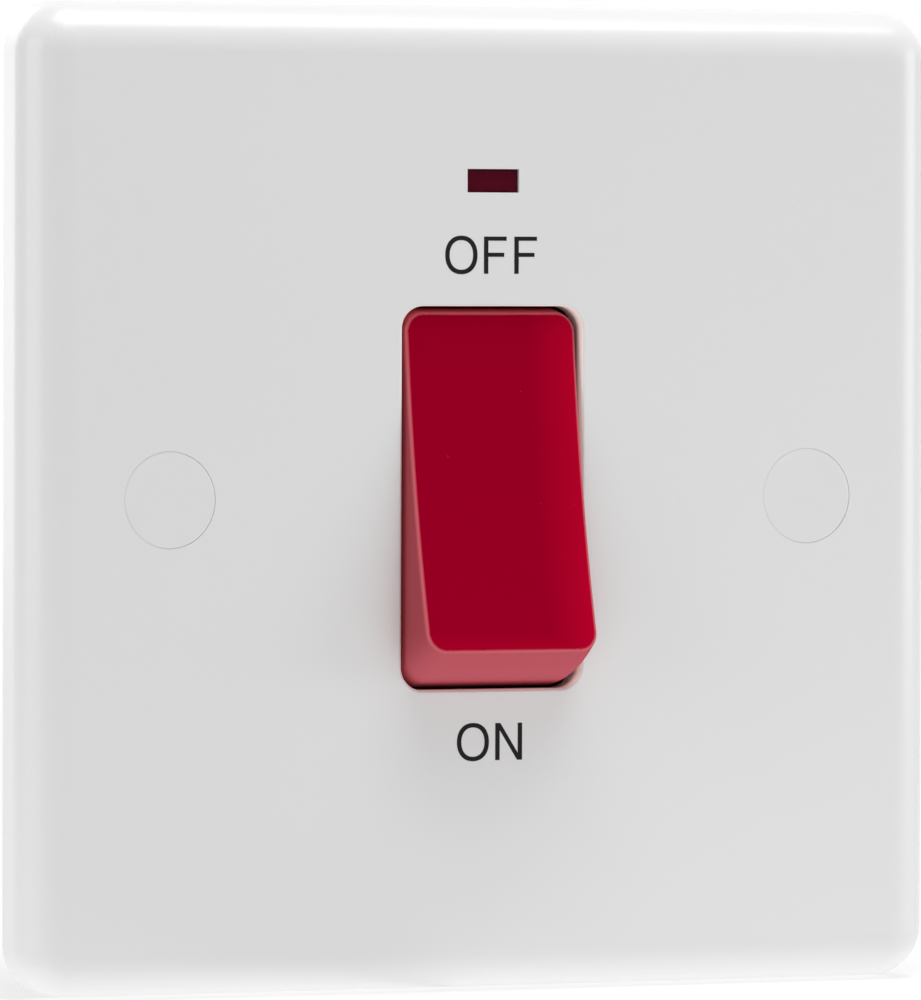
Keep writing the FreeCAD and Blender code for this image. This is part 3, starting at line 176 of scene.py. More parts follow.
def srgb(red, green, blue):
    """A colour as it looks on screen, 0 to 255, given in the linear values that shaders take."""
    return tuple((c / 3294.6 if c <= 10.31 else ((c / 255 + 0.055) / 1.055) ** 2.4)
                 for c in (red, green, blue)) + (1.0,)


SLIVER = 3e-6
SAME_PLANE = 0.99998


def shade_as_curved(mesh, sharp_degrees):
    """Points each corner as the true surface does. Facets in one plane count as one, by their
    area, so that a flat face stays flat right up to its rounded edge. Slivers never make a fold."""
    shape = bmesh.new()
    shape.from_mesh(mesh)
    faces = list(shape.faces)
    area = [face.calc_area() for face in faces]
    thin = [2 * area[face.index] < SLIVER * max(edge.calc_length() for edge in face.edges)
            for face in faces]
    plane = [None] * len(faces)
    for face in faces:
        if plane[face.index] is None:
            facing, spread, group, waiting = face.normal, 0.0, [], [face]
            plane[face.index] = group
            while waiting:
                one = waiting.pop()
                spread += area[one.index]
                for edge in one.edges:
                    for other in edge.link_faces:
                        if plane[other.index] is None and facing.dot(other.normal) > SAME_PLANE:
                            plane[other.index] = group
                            waiting.append(other)
            group.extend((facing, spread))
    limit = math.cos(math.radians(sharp_degrees))
    pointing = [None] * len(mesh.loops)
    for vertex in shape.verts:
        left = {face.index: face for face in vertex.link_faces}
        while left:
            fan = [left.popitem()[1]]
            for face in fan:
                for edge in face.edges:
                    if vertex in edge.verts:
                        for other in edge.link_faces:
                            soft = (thin[face.index] or thin[other.index]
                                    or face.normal.dot(other.normal) > limit)
                            if other.index in left and soft:
                                fan.append(left.pop(other.index))
            met = {id(plane[face.index]): plane[face.index] for face in fan}
            way = sum((facing * spread for facing, spread in met.values()), Vector()).normalized()
            for face in fan:
                for corner in face.loops:
                    if corner.vert == vertex:
                        pointing[corner.index] = way
    shape.free()
    mesh.shade_smooth()
    mesh.normals_split_custom_set(pointing)


def fine_copy(node, name, material, sharp_degrees=28.0):
    """The CAD solid's own shape with its facets shaded as the curves that they stand for."""
    mesh = frame["nodes"][node].data.copy()
    mesh.name = name
    shape = bmesh.new()
    shape.from_mesh(mesh)
    bmesh.ops.remove_doubles(shape, verts=shape.verts, dist=2e-6)
    shape.to_mesh(mesh)
    shape.free()
    shade_as_curved(mesh, sharp_degrees)
    piece = bpy.data.objects.new(name, mesh)
    bpy.context.scene.collection.objects.link(piece)
    body = frame["nodes"][node]["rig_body"]
    finish_piece(piece, material, body)
    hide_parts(node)
    return piece


def finish_piece(piece, material, body):
    """Fixes a piece's modifiers into its mesh, then gives it its material and its body."""
    solid = bpy.data.meshes.new_from_object(piece.evaluated_get(bpy.context.evaluated_depsgraph_get()))
    piece.modifiers.clear()
    piece.data = solid
    solid.materials.clear()
    solid.materials.append(material)
    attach(piece, body)


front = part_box("front_plate")[0].y
OPENING_SIDE, OPENING_TOP, BEHIND_FACE = 9.2e-3, 17.4e-3, 0.08e-3
RIM_AT, BRIGHTEST_AT, DARK_AT = 0.04e-3, 0.4e-3, 1.4e-3
plate = Finish("plate_moulding")
sweep = plate.noise(45.0, 1.0)
peel = plate.noise(1.1, 2.0)
grain = plate.noise(0.16, 1.0)
dust = plate.noise(0.9, 6.0).math("GREATER_THAN", 0.735) * 0.5
across, deep, up = plate.split(plate.place)
in_depth = deep - front
opening_wall = (across.math("ABSOLUTE").math("LESS_THAN", OPENING_SIDE)
                * up.math("ABSOLUTE").math("LESS_THAN", OPENING_TOP)
                * in_depth.math("GREATER_THAN", BEHIND_FACE))
plate_grey = plate.mix(sweep, srgb(223, 223, 223), srgb(227, 227, 227))
past_rim = in_depth.ramp(RIM_AT, BRIGHTEST_AT, 0.15, 1.0)
near_front = in_depth.ramp(BRIGHTEST_AT, DARK_AT, 1.0, 0.0)
# Painted light: the walls of the rocker opening are painted paler and glow faintly by emission, standing in
# for light that comes through the thin moulding.
painted_wall_glow = plate.mix(opening_wall * past_rim * near_front, srgb(0, 0, 0), srgb(255, 226, 214))
plate_grey_with_painted_wall_light = plate.mix(opening_wall, plate_grey, srgb(240, 230, 226))
plate_white = plate.set(
    Base_Color=plate.mix(dust * 0.08, plate_grey_with_painted_wall_light, srgb(170, 168, 164)),
    Roughness=0.26 + 0.07 * sweep + 0.03 * peel,
    Specular_IOR_Level=0.45,
    Coat_Weight=0.15,
    Coat_Roughness=0.12,
    Emission_Color=painted_wall_glow,
    Emission_Strength=0.3,
    Normal=plate.bump(peel * 0.8 + grain * 0.2, 0.004, 0.35))
fine_copy("front_plate", "plate_shell", plate_white)


# The words above and below the rocker are pad-printed in near-black ink, a plain sans letter
# 3.3 mm high. The ink stands a few microns proud, with slightly uneven edges of film.
LETTER_HIGH = 3.25e-3
STROKE = 0.42e-3
INK = 0.012e-3
SQUARENESS = 2.2


def straight_letter(outline, left, low):
    """A letter of straight strokes, from an outline in millimetres about its own corner."""
    shape = bmesh.new()
    under, over = [[shape.verts.new((left + x * 1e-3, front - lift, low + z * 1e-3)) for x, z in outline]
                   for lift in (0.0, INK)]
    caps = [shape.faces.new(under), shape.faces.new(over)]
    for near in range(len(outline)):
        far = (near + 1) % len(outline)
        shape.faces.new((under[near], under[far], over[far], over[near]))
    shape.normal_update()
    bmesh.ops.triangulate(shape, faces=caps)
    return shape


def round_letter(left, low, wide, high):
    """The letter O: two rounded rings, squarer than an ellipse, and the film between them."""
    shape = bmesh.new()
    steps = 72
    rings = []
    for inset, lift in ((0.0, 0.0), (0.0, INK), (STROKE, INK), (STROKE, 0.0)):
        ring = []
        for step in range(steps):
            turn = 2 * math.pi * step / steps
            across, up = math.cos(turn), math.sin(turn)
            bulge = (abs(across) ** SQUARENESS + abs(up) ** SQUARENESS) ** (-1 / SQUARENESS)
            x = left + wide / 2 + (wide / 2 - inset) * across * bulge
            z = low + high / 2 + (high / 2 - inset * 0.94) * up * bulge
            ring.append(shape.verts.new((x, front - lift, z)))
        rings.append(ring)
    for ring, following in zip(rings, rings[1:] + rings[:1]):
        for step in range(steps):
            near, far = step, (step + 1) % steps
            shape.faces.new((ring[near], ring[far], following[far], following[near]))
    return shape


stroke = STROKE * 1e3
tall = LETTER_HIGH * 1e3
bar, bar_low, arm, arm_top = 0.36, 1.48, 1.92, 2.15
letter_f = [(0, 0), (stroke, 0), (stroke, bar_low), (arm, bar_low), (arm, bar_low + bar),
            (stroke, bar_low + bar), (stroke, tall - bar), (arm_top, tall - bar), (arm_top, tall), (0, tall)]
wide, slope, cross = 2.55, 0.63, 0.06
letter_n = [(0, 0), (stroke, 0), (stroke, tall - slope), (wide - stroke - cross, 0), (wide, 0),
            (wide, tall), (wide - stroke, tall), (wide - stroke, slope), (stroke + cross, tall), (0, tall)]
ink = Finish("printed_ink")
film = ink.noise(0.35, 3.0)
ink_black = ink.set(Base_Color=ink.mix(film, srgb(24, 24, 26), srgb(34, 34, 36)),
                    Roughness=0.42 + 0.12 * film, Specular_IOR_Level=0.1,
                    Normal=ink.bump(film, 0.003, 0.4))
words = {
    "word_off": [round_letter(-4.54e-3, 19.53e-3, 3.05e-3, 3.37e-3),
                 straight_letter(letter_f, -0.88e-3, 19.58e-3),
                 straight_letter(letter_f, 2.00e-3, 19.58e-3)],
    "word_on": [round_letter(-3.29e-3, -23.01e-3, 3.03e-3, 3.35e-3),
                straight_letter(letter_n, 0.34e-3, -22.95e-3)],
}
for word, letters in words.items():
    whole = bpy.data.meshes.new(word)
    joined = bmesh.new()
    for letter in letters:
        part_mesh = bpy.data.meshes.new("letter")
        letter.to_mesh(part_mesh)
        letter.free()
        joined.from_mesh(part_mesh)
        bpy.data.meshes.remove(part_mesh)
    bmesh.ops.recalc_face_normals(joined, faces=joined.faces)
    joined.to_mesh(whole)
    joined.free()
    piece = bpy.data.objects.new(word, whole)
    bpy.context.scene.collection.objects.link(piece)
    finish_piece(piece, ink_black, "plate_and_housing")


# Two screw caps of the same white plastic press into the fixing bores, flush with the face.
# They come from another mould, so they differ a shade, and each sits a hair off centre. The rim
# is drawn a little fuller than the solid's, so that only a hairline of its gap shows.
cap = Finish("cap_moulding")
cap_cloud = cap.noise(9.0, 2.0)
cap_peel = cap.noise(0.5, 2.0)
cap_white = cap.set(Base_Color=cap.mix(cap_cloud, srgb(222, 222, 222), srgb(226, 226, 226)),
                    Roughness=0.30 + 0.06 * cap_cloud, Specular_IOR_Level=0.45,
                    Normal=cap.bump(cap_peel, 0.003, 0.3))
CAP_FLAT, CAP_RIM = 3.9e-3, 4.05e-3
RIM_WIDER, RIM_FULLER, BEVEL_REACH = 0.086e-3, 0.09e-3, 0.2e-3
off_centre = Vector((-0.007e-3, 0.0, 0.007e-3))
for side in ("left", "right"):
    pressed = fine_copy(f"screw_cap_{side}", f"cap_{side}", cap_white)
    low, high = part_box(f"screw_cap_{side}")
    middle = Vector(((low.x + high.x) / 2, 0.0, (low.z + high.z) / 2))
    for vertex in pressed.data.vertices:
        spoke = Vector((vertex.co.x, 0.0, vertex.co.z)) - middle
        if spoke.length > CAP_FLAT:
            vertex.co += spoke.normalized() * RIM_WIDER + off_centre
            if spoke.length > CAP_RIM and vertex.co.y < low.y + BEVEL_REACH:
                vertex.co.y -= RIM_FULLER


# Two M3.5 screws of zinc-plated steel hold the plate to the wall box. They are headed and
# rolled, with a raised countersunk head and one sawn slot, and sit in their bores under the caps.
def new_shape(name, sizes, result):
    """A shape tree, the identifiers of the sizes and material that go in, and their wires."""
    shape = Tree(bpy.data.node_groups.new(name, "GeometryNodeTree"))
    identifiers = {}
    for label, kind in {**sizes, "Finish": "Material"}.items():
        made = shape.tree.interface.new_socket(label, in_out="INPUT", socket_type=f"NodeSocket{kind}")
        identifiers[label] = made.identifier
    shape.tree.interface.new_socket(result, in_out="OUTPUT", socket_type="NodeSocketGeometry")
    wires = {socket.name: Wire(shape, socket) for socket in shape.node("NodeGroupInput").socket.node.outputs}
    return shape, identifiers, wires


def end_shape(shape, solid, finish):
    """Ends a shape tree in real geometry that has its material."""
    real = shape.node("GeometryNodeRealizeInstances", sockets={"Geometry": solid})
    finished = shape.node("GeometryNodeSetMaterial", sockets={"Geometry": real, "Material": finish})
    end = shape.tree.nodes.new("NodeGroupOutput")
    shape.tree.links.new(finished.socket, end.inputs[0])


thread_shape, thread_sizes, given = new_shape("rolled_thread", {
    "Radius": "Float", "Length": "Float", "Pitch": "Float", "Depth": "Float", "Rings": "Int"}, "Thread")
rod = thread_shape.node("GeometryNodeMeshCylinder", {"fill_type": "TRIANGLE_FAN"}, {
    "Vertices": 32, "Side Segments": given["Rings"], "Radius": given["Radius"] - given["Depth"],
    "Depth": given["Length"]})
across, over, along = thread_shape.split(thread_shape.node("GeometryNodeInputPosition"))
turned_by = over.math("ARCTAN2", across) / (2 * math.pi)
ridge = 1 - (2 * (along / given["Pitch"] - turned_by).math("FRACT") - 1).math("ABSOLUTE")
crest = (1.5 * ridge - 0.25).math("MAXIMUM", 0.0).math("MINIMUM", 1.0)
run_out = ((0.5 * given["Length"] - along.math("ABSOLUTE")) / given["Pitch"]).math("MINIMUM", 1.0)
outward = thread_shape.node("ShaderNodeVectorMath", {"operation": "NORMALIZE"}, {
    0: thread_shape.node("ShaderNodeCombineXYZ", sockets={"X": across, "Y": over})})
lift = thread_shape.node("ShaderNodeVectorMath", {"operation": "SCALE"}, {
    0: outward, "Scale": crest * run_out * given["Depth"]})
grown = thread_shape.node("GeometryNodeSetPosition", sockets={"Geometry": rod, "Offset": lift})
end_shape(thread_shape, grown, given["Finish"])


def grown_from(tree, sockets, values, material):
    """The plain mesh that a shape tree gives for these sizes."""
    holder = bpy.data.objects.new("blank", bpy.data.meshes.new("blank"))
    bpy.context.scene.collection.objects.link(holder)
    maker = holder.modifiers.new("shape", "NODES")
    maker.node_group = tree.tree
    for label, size in values.items():
        maker[sockets[label]] = size
    maker[sockets["Finish"]] = material
    mesh = bpy.data.meshes.new_from_object(holder.evaluated_get(bpy.context.evaluated_depsgraph_get()))
    bpy.data.objects.remove(holder)
    return mesh


RINGS_A_TURN = 8


def threaded(radius, low, high, pitch, depth, material):
    """A threaded rod along Z between two heights, in metres."""
    mesh = grown_from(thread_shape, thread_sizes, {
        "Radius": radius, "Length": high - low, "Pitch": pitch, "Depth": depth,
        "Rings": round((high - low) / pitch * RINGS_A_TURN)}, material)
    mesh.transform(Matrix.Translation((0, 0, (low + high) / 2)))
    return mesh


def turned(outline, steps=48):
    """A closed solid turned about Z from (radius, height) pairs that start and end on the axis."""
    shape = bmesh.new()
    rings = []
    for radius, height in outline:
        if radius == 0:
            rings.append([shape.verts.new((0, 0, height))])
        else:
            rings.append([shape.verts.new((radius * math.cos(2 * math.pi * step / steps),
                                           radius * math.sin(2 * math.pi * step / steps), height))
                          for step in range(steps)])
    for low, high in zip(rings, rings[1:]):
        for step in range(steps):
            following = (step + 1) % steps
            corners = [low[step % len(low)], low[following % len(low)],
                       high[following % len(high)], high[step % len(high)]]
            shape.faces.new(list(dict.fromkeys(corners)))
    bmesh.ops.recalc_face_normals(shape, faces=shape.faces)
    mesh = bpy.data.meshes.new("turned")
    shape.to_mesh(mesh)
    shape.free()
    return mesh


SAW_LONG = 0.05


def sawn(mesh, wide, low, high):
    """The same mesh with a slot sawn right across it along X, between two heights."""
    saw = bpy.data.meshes.new("saw")
    blade = bmesh.new()
    bmesh.ops.create_cube(blade, size=1.0, matrix=Matrix.Translation((0, 0, (low + high) / 2))
                          @ Matrix.Diagonal((SAW_LONG, wide, high - low, 1.0)))
    blade.to_mesh(saw)
    blade.free()
    work, tool = bpy.data.objects.new("work", mesh), bpy.data.objects.new("tool", saw)
    bpy.context.scene.collection.objects.link(work)
    bpy.context.scene.collection.objects.link(tool)
    cut = work.modifiers.new("slot", "BOOLEAN")
    cut.operation = "DIFFERENCE"
    cut.solver = "EXACT"
    cut.object = tool
    result = bpy.data.meshes.new_from_object(work.evaluated_get(bpy.context.evaluated_depsgraph_get()))
    bpy.data.objects.remove(work)
    bpy.data.objects.remove(tool)
    return result


def assemble(name, meshes, material, body, sharp_degrees=32.0):
    """One piece from several closed meshes that are already in place."""
    shape = bmesh.new()
    for mesh in meshes:
        shape.from_mesh(mesh)
    whole = bpy.data.meshes.new(name)
    shape.to_mesh(whole)
    shape.free()
    whole.shade_smooth()
    whole.set_sharp_from_angle(angle=math.radians(sharp_degrees))
    piece = bpy.data.objects.new(name, whole)
    bpy.context.scene.collection.objects.link(piece)
    finish_piece(piece, material, body)
    return piece


def into_wall(x, y, z):
    """Lays a screw drawn up Z along the way into the wall, from this place."""
    return Matrix.Translation((x, y, z)) @ Matrix.Rotation(math.radians(-90), 4, "X")


zinc = Finish("zinc_plate")
zinc_cloud = zinc.noise(1.6, 3.0)
zinc_grain = zinc.noise(0.12, 2.0)
zinc_steel = zinc.set(Base_Color=zinc.mix(zinc_cloud, srgb(196, 200, 206), srgb(216, 216, 214)),
                      Metallic=1.0, Roughness=0.28 + 0.16 * zinc_cloud,
                      Normal=zinc.bump(zinc_grain, 0.004, 0.4))
dome, crown_step, neck, neck_end = 0.8e-3, 0.05e-3, 1.5e-3, 3.0e-3
slot_wide, over_head, slot_floor = 0.9e-3, -1.5e-3, 0.6e-3
shank_radius, shank_start, shank_pitch, shank_depth = 1.75e-3, 1.6e-3, 0.6e-3, 0.36e-3
for side in ("left", "right"):
    low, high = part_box(f"fixing_screw_{side}")
    head = (high.x - low.x) / 2
    seat = low.y + dome
    tip = high.y - seat
    crown = [(head * share, -dome * (1 - share ** 2) - crown_step)
             for share in (0.0, 0.2, 0.4, 0.6, 0.8, 0.92)]
    blank = turned(crown + [(head, -0.03e-3), (head, 0.08e-3), (neck, head - 1.42e-3), (neck, neck_end),
                            (0, neck_end)])
    head_mesh = sawn(blank, slot_wide, over_head, slot_floor)
    shank = threaded(shank_radius, shank_start, tip, shank_pitch, shank_depth, zinc_steel)
    for mesh in (head_mesh, shank):
        mesh.transform(into_wall((low.x + high.x) / 2, seat, (low.z + high.z) / 2))
    fixing_body = frame["nodes"][f"fixing_screw_{side}"]["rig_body"]
    assemble(f"screw_{side}", [head_mesh, shank], zinc_steel, fixing_body)
    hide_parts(f"fixing_screw_{side}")


# The neon window is a dark red transparent bar that sits a quarter of a millimetre down in
# its slot. Unlit it looks almost black, with a soft sheen and a thin lit rim.
lens = Finish("neon_lens_plastic")
lens_depth = lens.noise(1.6, 2.0)
lens_red = lens.set(Base_Color=lens.mix(lens_depth, srgb(66, 5, 22), srgb(86, 10, 30)),
                    Roughness=0.2 + 0.06 * lens_depth, Specular_IOR_Level=0.03,
                    Normal=lens.bump(lens_depth, 0.01, 0.3))
fine_copy("neon_lens", "lens_bar", lens_red)


# The rocker is a hollow red moulding with a polished concave face, a deep red. Its right and lower edges are
# painted a brighter red, its rounded edges carry a painted highlight, and its ends are painted lighter where
# light falls on them.
# Its sides are matt and paler, partly as a matt skin and partly as painted sheen, and dust lies on it.
rocker = Finish("rocker_moulding")
cloud = rocker.noise(14.0, 2.0)
skin = rocker.noise(0.45, 3.0)
patchy = rocker.noise(7.0, 1.0).math("GREATER_THAN", 0.5)
speck = rocker.noise(0.30, 2.0).math("GREATER_THAN", 0.765) * patchy
lean = math.radians(11.2)
facing = rocker.node("ShaderNodeVectorMath", {"operation": "DOT_PRODUCT"}, {
    0: rocker.node("ShaderNodeTexCoord", out="Normal"),
    1: (0.0, -math.cos(lean), math.sin(lean))}, out="Value")
# Painted highlight: by the way each spot faces, the rounded edges between face and sides are painted a light
# pink, and the face a deep red.
face_red_and_painted_edge_highlight = rocker.node("ShaderNodeValToRGB", {"stops": (
    (0.0, srgb(176, 80, 90)[:3]), (0.55, srgb(188, 88, 98)[:3]), (0.80, srgb(206, 106, 114)[:3]),
    (0.93, srgb(196, 70, 84)[:3]), (0.985, srgb(158, 4, 38)[:3]),
    (0.994, srgb(152, 0, 35)[:3]))}, {"Fac": facing})
polished = facing.math("GREATER_THAN", 0.97)
across, _, up = rocker.split(rocker.place)
lit_right_edge = across.ramp(3.5e-3, 8.2e-3, 0.0, 1.0)
lit_lower_end = up.ramp(-11.5e-3, -15.5e-3, 0.0, 1.0)
lit_top_end = up.math("GREATER_THAN", 15.4e-3)
flank = facing.ramp(0.60, 0.25, 0.0, 1.0)
# Painted light: the sides are paler, partly a matt skin and partly painted sheen; the lower end is painted
# lighter as if lit from below, and the top end lighter as if lit from above.
matt_sides_and_painted_light = rocker.mix(lit_top_end, rocker.mix(lit_lower_end, srgb(162, 72, 80), srgb(188, 90, 101)), srgb(204, 66, 84))
# Painted light: the right edge and lower end of the polished face are painted a brighter red, as if lit
# there.
painted_edge_glow = rocker.mix(lit_right_edge.math("MAXIMUM", lit_lower_end) * polished, face_red_and_painted_edge_highlight, srgb(186, 2, 42))
rocker_base = rocker.mix(cloud * 0.3, rocker.mix(flank, painted_edge_glow, matt_sides_and_painted_light),
                         rocker.mix(polished, srgb(180, 80, 90), srgb(150, 0, 36)))
rocker_red = rocker.set(
    Base_Color=rocker.mix(speck * 0.3, rocker_base, srgb(196, 96, 106)),
    Roughness=0.55 - 0.2 * polished + 0.05 * cloud + 0.05 * skin,
    Specular_IOR_Level=0.0,
    Normal=rocker.bump(skin, 0.005, 0.35))
fine_copy("rocker", "rocker_shell", rocker_red)


# Two nylon pins slide in the guides behind the rocker's face, each pushed by a wound spring of
# drawn steel wire. Their round noses ride on the two contact blades.
nylon = Finish("plunger_nylon")
nylon_cloud = nylon.noise(2.5, 2.0)
nylon_skin = nylon.noise(0.2, 2.0)
plunger_white = nylon.set(Base_Color=nylon.mix(nylon_cloud, srgb(226, 222, 210), srgb(234, 231, 220)),
                          Roughness=0.42 + 0.1 * nylon_cloud, Normal=nylon.bump(nylon_skin, 0.004, 0.4))
spring_shape, spring_sizes, given = new_shape("wound_spring", {
    "Coil": "Float", "Wire": "Float", "Turns": "Float", "Length": "Float"}, "Spring")
END_CLOSING = 0.66
coil = spring_shape.node("GeometryNodeCurveSpiral", sockets={
    "Resolution": 40, "Rotations": given["Turns"], "Start Radius": given["Coil"],
    "End Radius": given["Coil"], "Height": 0.0})
share = spring_shape.node("GeometryNodeSplineParameter")
risen = share - (share * (2 * math.pi)).math("SINE") * (END_CLOSING / (2 * math.pi))
rise = spring_shape.node("ShaderNodeCombineXYZ", sockets={"Z": (risen - 0.5) * given["Length"]})
stretched = spring_shape.node("GeometryNodeSetPosition", sockets={"Geometry": coil, "Offset": rise})
section = spring_shape.node("GeometryNodeCurvePrimitiveCircle", sockets={
    "Resolution": 12, "Radius": given["Wire"]})
wound = spring_shape.node("GeometryNodeCurveToMesh", sockets={
    "Curve": stretched, "Profile Curve": section, "Fill Caps": True})
end_shape(spring_shape, wound, given["Finish"])
drawn_wire = Finish("spring_wire")
wire_cloud = drawn_wire.noise(0.5, 3.0)
wire_grain = drawn_wire.noise(0.08, 1.0)
spring_steel = drawn_wire.set(Base_Color=drawn_wire.mix(wire_cloud, srgb(150, 152, 156), srgb(182, 182, 182)),
                              Metallic=1.0, Roughness=0.26 + 0.12 * wire_cloud,
                              Normal=drawn_wire.bump(wire_grain, 0.002, 0.3))
spring_long, coil_radius, wire_radius, travel, coil_turns = 6.6e-3, 1.2e-3, 0.2e-3, 1.2e-3, 5.0
spring_middle = -1.5e-3
for pole in ("neutral", "live"):
    fine_copy(f"plunger_{pole}", f"pin_{pole}", plunger_white)
    spring_name = f"plunger_spring_{pole}"
    low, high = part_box(spring_name)
    spring_mesh = grown_from(spring_shape, spring_sizes, {
        "Coil": coil_radius, "Wire": wire_radius, "Turns": coil_turns, "Length": spring_long}, spring_steel)
    middle = Vector(((low.x + high.x) / 2, spring_middle, 0))
    spring_mesh.transform(Matrix.Translation(middle) @ Matrix.Rotation(-lean - math.pi / 2, 4, "X"))
    assemble(f"spring_{pole}", [spring_mesh], spring_steel, frame["nodes"][spring_name]["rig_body"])
    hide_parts(spring_name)
    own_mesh(bpy.data.objects[f"spring_{pole}"])


# Each pole has a rocking blade pressed from copper strip, bent in a shallow vee over its knuckle.
# A silver tip is riveted on its long arm and another on the fixed strip that it closes on.
rolled = Finish("rolled_copper")
streak = rolled.noise(0.5, 3.0, stretch=(1.0, 1.0, 0.08))
tarnish = rolled.noise(3.2, 3.0)
copper_fresh = rolled.mix(streak, srgb(206, 134, 98), srgb(222, 156, 118))
copper = rolled.set(Base_Color=rolled.mix(tarnish * 0.45, copper_fresh, srgb(160, 96, 70)),
                    Metallic=1.0, Roughness=0.26 + 0.2 * tarnish,
                    Normal=rolled.bump(streak, 0.003, 0.35))
silver_face = Finish("contact_silver")
silver_cloud = silver_face.noise(0.7, 3.0)
silver_pits = silver_face.noise(0.12, 2.0)
silver = silver_face.set(Base_Color=silver_face.mix(silver_cloud, srgb(226, 224, 218), srgb(202, 198, 188)),
                         Metallic=1.0, Roughness=0.24 + 0.2 * silver_cloud,
                         Normal=silver_face.bump(silver_pits, 0.004, 0.4))
for pole in ("neutral", "live"):
    fine_copy(f"moving_contact_{pole}", f"blade_{pole}", copper)
    fine_copy(f"moving_tip_{pole}", f"blade_tip_{pole}", silver)
    fine_copy(f"fixed_tip_{pole}", f"strip_tip_{pole}", silver)


# Four brass strips are blanked and folded, and lie between frame and base. Two carry the saddles
# that the blades rock in, two carry the fixed tips, and each ends in a cable terminal.
sheet_brass = Finish("strip_brass")
sheet_streak = sheet_brass.noise(0.6, 3.0, stretch=(1.0, 1.0, 0.08))
sheet_stain = sheet_brass.noise(5.0, 3.0)
sheet_fresh = sheet_brass.mix(sheet_streak, srgb(214, 182, 110), srgb(226, 196, 128))
brass_strip = sheet_brass.set(
    Base_Color=sheet_brass.mix(sheet_stain * 0.5, sheet_fresh, srgb(184, 148, 82)),
    Metallic=1.0, Roughness=0.27 + 0.18 * sheet_stain,
    Normal=sheet_brass.bump(sheet_streak, 0.003, 0.35))
for pole in ("neutral", "live"):
    for way in ("load", "supply"):
        fine_copy(f"{way}_strip_{pole}", f"strip_{way}_{pole}", brass_strip)


# The cable terminals are lengths of drawn brass bar, bored through for the conductor and sawn
# off, so their long sides are bright with draw lines and their ends show fine saw marks.
bar_brass = Finish("terminal_brass")
draw_line = bar_brass.noise(0.28, 3.0, stretch=(1.0, 1.0, 0.04))
saw_line = bar_brass.noise(0.22, 2.0, stretch=(0.06, 1.0, 1.0))
stain = bar_brass.noise(6.0, 3.0)
bar_fresh = bar_brass.mix(draw_line, srgb(216, 190, 126), srgb(230, 206, 146))
brass_bar = bar_brass.set(
    Base_Color=bar_brass.mix(stain * 0.5, bar_fresh, srgb(188, 158, 98)),
    Metallic=1.0, Roughness=0.24 + 0.16 * stain + 0.08 * saw_line,
    Normal=bar_brass.bump(draw_line * 0.6 + saw_line * 0.4, 0.006, 0.4))
terminals = [f"terminal_{pole}_{way}" for pole in ("neutral", "live") for way in ("supply", "load")]
for terminal in terminals + ["earth_terminal"]:
    fine_copy(terminal, f"bar_{terminal.removeprefix('terminal_')}", brass_bar)


# Two brass grub screws clamp the conductor in each terminal. They are turned with a cut thread,
# a chamfered point and a sawn slot in the outer end.
turned_brass = Finish("screw_brass")
lathe_mark = turned_brass.noise(0.15, 2.0, stretch=(0.2, 1.0, 0.2))
dulling = turned_brass.noise(1.3, 3.0)
brass_screw = turned_brass.set(
    Base_Color=turned_brass.mix(dulling, srgb(230, 206, 148), srgb(204, 176, 116)),
    Metallic=1.0, Roughness=0.25 + 0.16 * dulling, Normal=turned_brass.bump(lathe_mark, 0.003, 0.35))
coarse, fine, thick = 0.75e-3, 0.6e-3, 2e-3
SLOT_WIDE, SLOT_DEEP, SAW_CLEAR = 0.8e-3, 1.3e-3, 0.5e-3
screw_kinds = {}
for screw in [name for name in frame["nodes"] if name.startswith("clamp_screw_")]:
    low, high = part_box(screw)
    radius, length = (high.x - low.x) / 2, high.y - low.y
    kind = round(radius * 1e5)
    if kind not in screw_kinds:
        pitch = coarse if radius > thick else fine
        screw_kinds[kind] = sawn(threaded(radius, 0.0, length, pitch, 0.6 * pitch, brass_screw),
                                 SLOT_WIDE, length - SLOT_DEEP, length + SAW_CLEAR)
    grub = screw_kinds[kind].copy()
    grub.transform(into_wall((low.x + high.x) / 2, low.y, (low.z + high.z) / 2))
    short = f"grub_{screw.removeprefix('clamp_screw_')}"
    assemble(short, [grub], brass_screw, frame["nodes"][screw]["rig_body"])
    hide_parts(screw)


# The neon is a small glass tube with a pinched tip, and a stiff electrode wire comes in from each
# end. The glass is clear; the two dull coated rods lie side by side in it with a gap between.
glass = Finish("lamp_tube_glass")
ripple = glass.noise(1.4, 1.0)
clear_glass = glass.set(Base_Color=glass.mix(ripple, srgb(250, 246, 240), srgb(255, 252, 248)),
                        Roughness=0.03 + 0.03 * ripple, IOR=1.5, Transmission_Weight=1.0,
                        Normal=glass.bump(ripple, 0.01, 0.2))
coated = Finish("electrode_coating")
coat_grain = coated.noise(0.12, 3.0)
electrode_grey = coated.set(Base_Color=coated.mix(coat_grain, srgb(118, 116, 112), srgb(164, 160, 152)),
                            Metallic=0.6, Roughness=0.5 + 0.2 * coat_grain,
                            Normal=coated.bump(coat_grain, 0.01, 0.5))
low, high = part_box("neon_lamp")
bulb, half_tube = (high.z - low.z) / 2, (high.x - low.x) / 2
middle = (low + high) / 2
wall = 0.35e-3
outside = [(0, -half_tube), (0.55 * bulb, -half_tube), (0.80 * bulb, -half_tube + 0.12e-3),
           (0.95 * bulb, -half_tube + 0.4e-3), (bulb, -half_tube + 0.95e-3), (bulb, half_tube - 3.0e-3),
           (0.96 * bulb, half_tube - 2.6e-3), (0.82 * bulb, half_tube - 2.05e-3),
           (0.6 * bulb, half_tube - 1.65e-3), (0.36 * bulb, half_tube - 1.2e-3),
           (0.24 * bulb, half_tube - 0.7e-3), (0.18 * bulb, half_tube - 0.2e-3), (0.1 * bulb, half_tube),
           (0, half_tube)]
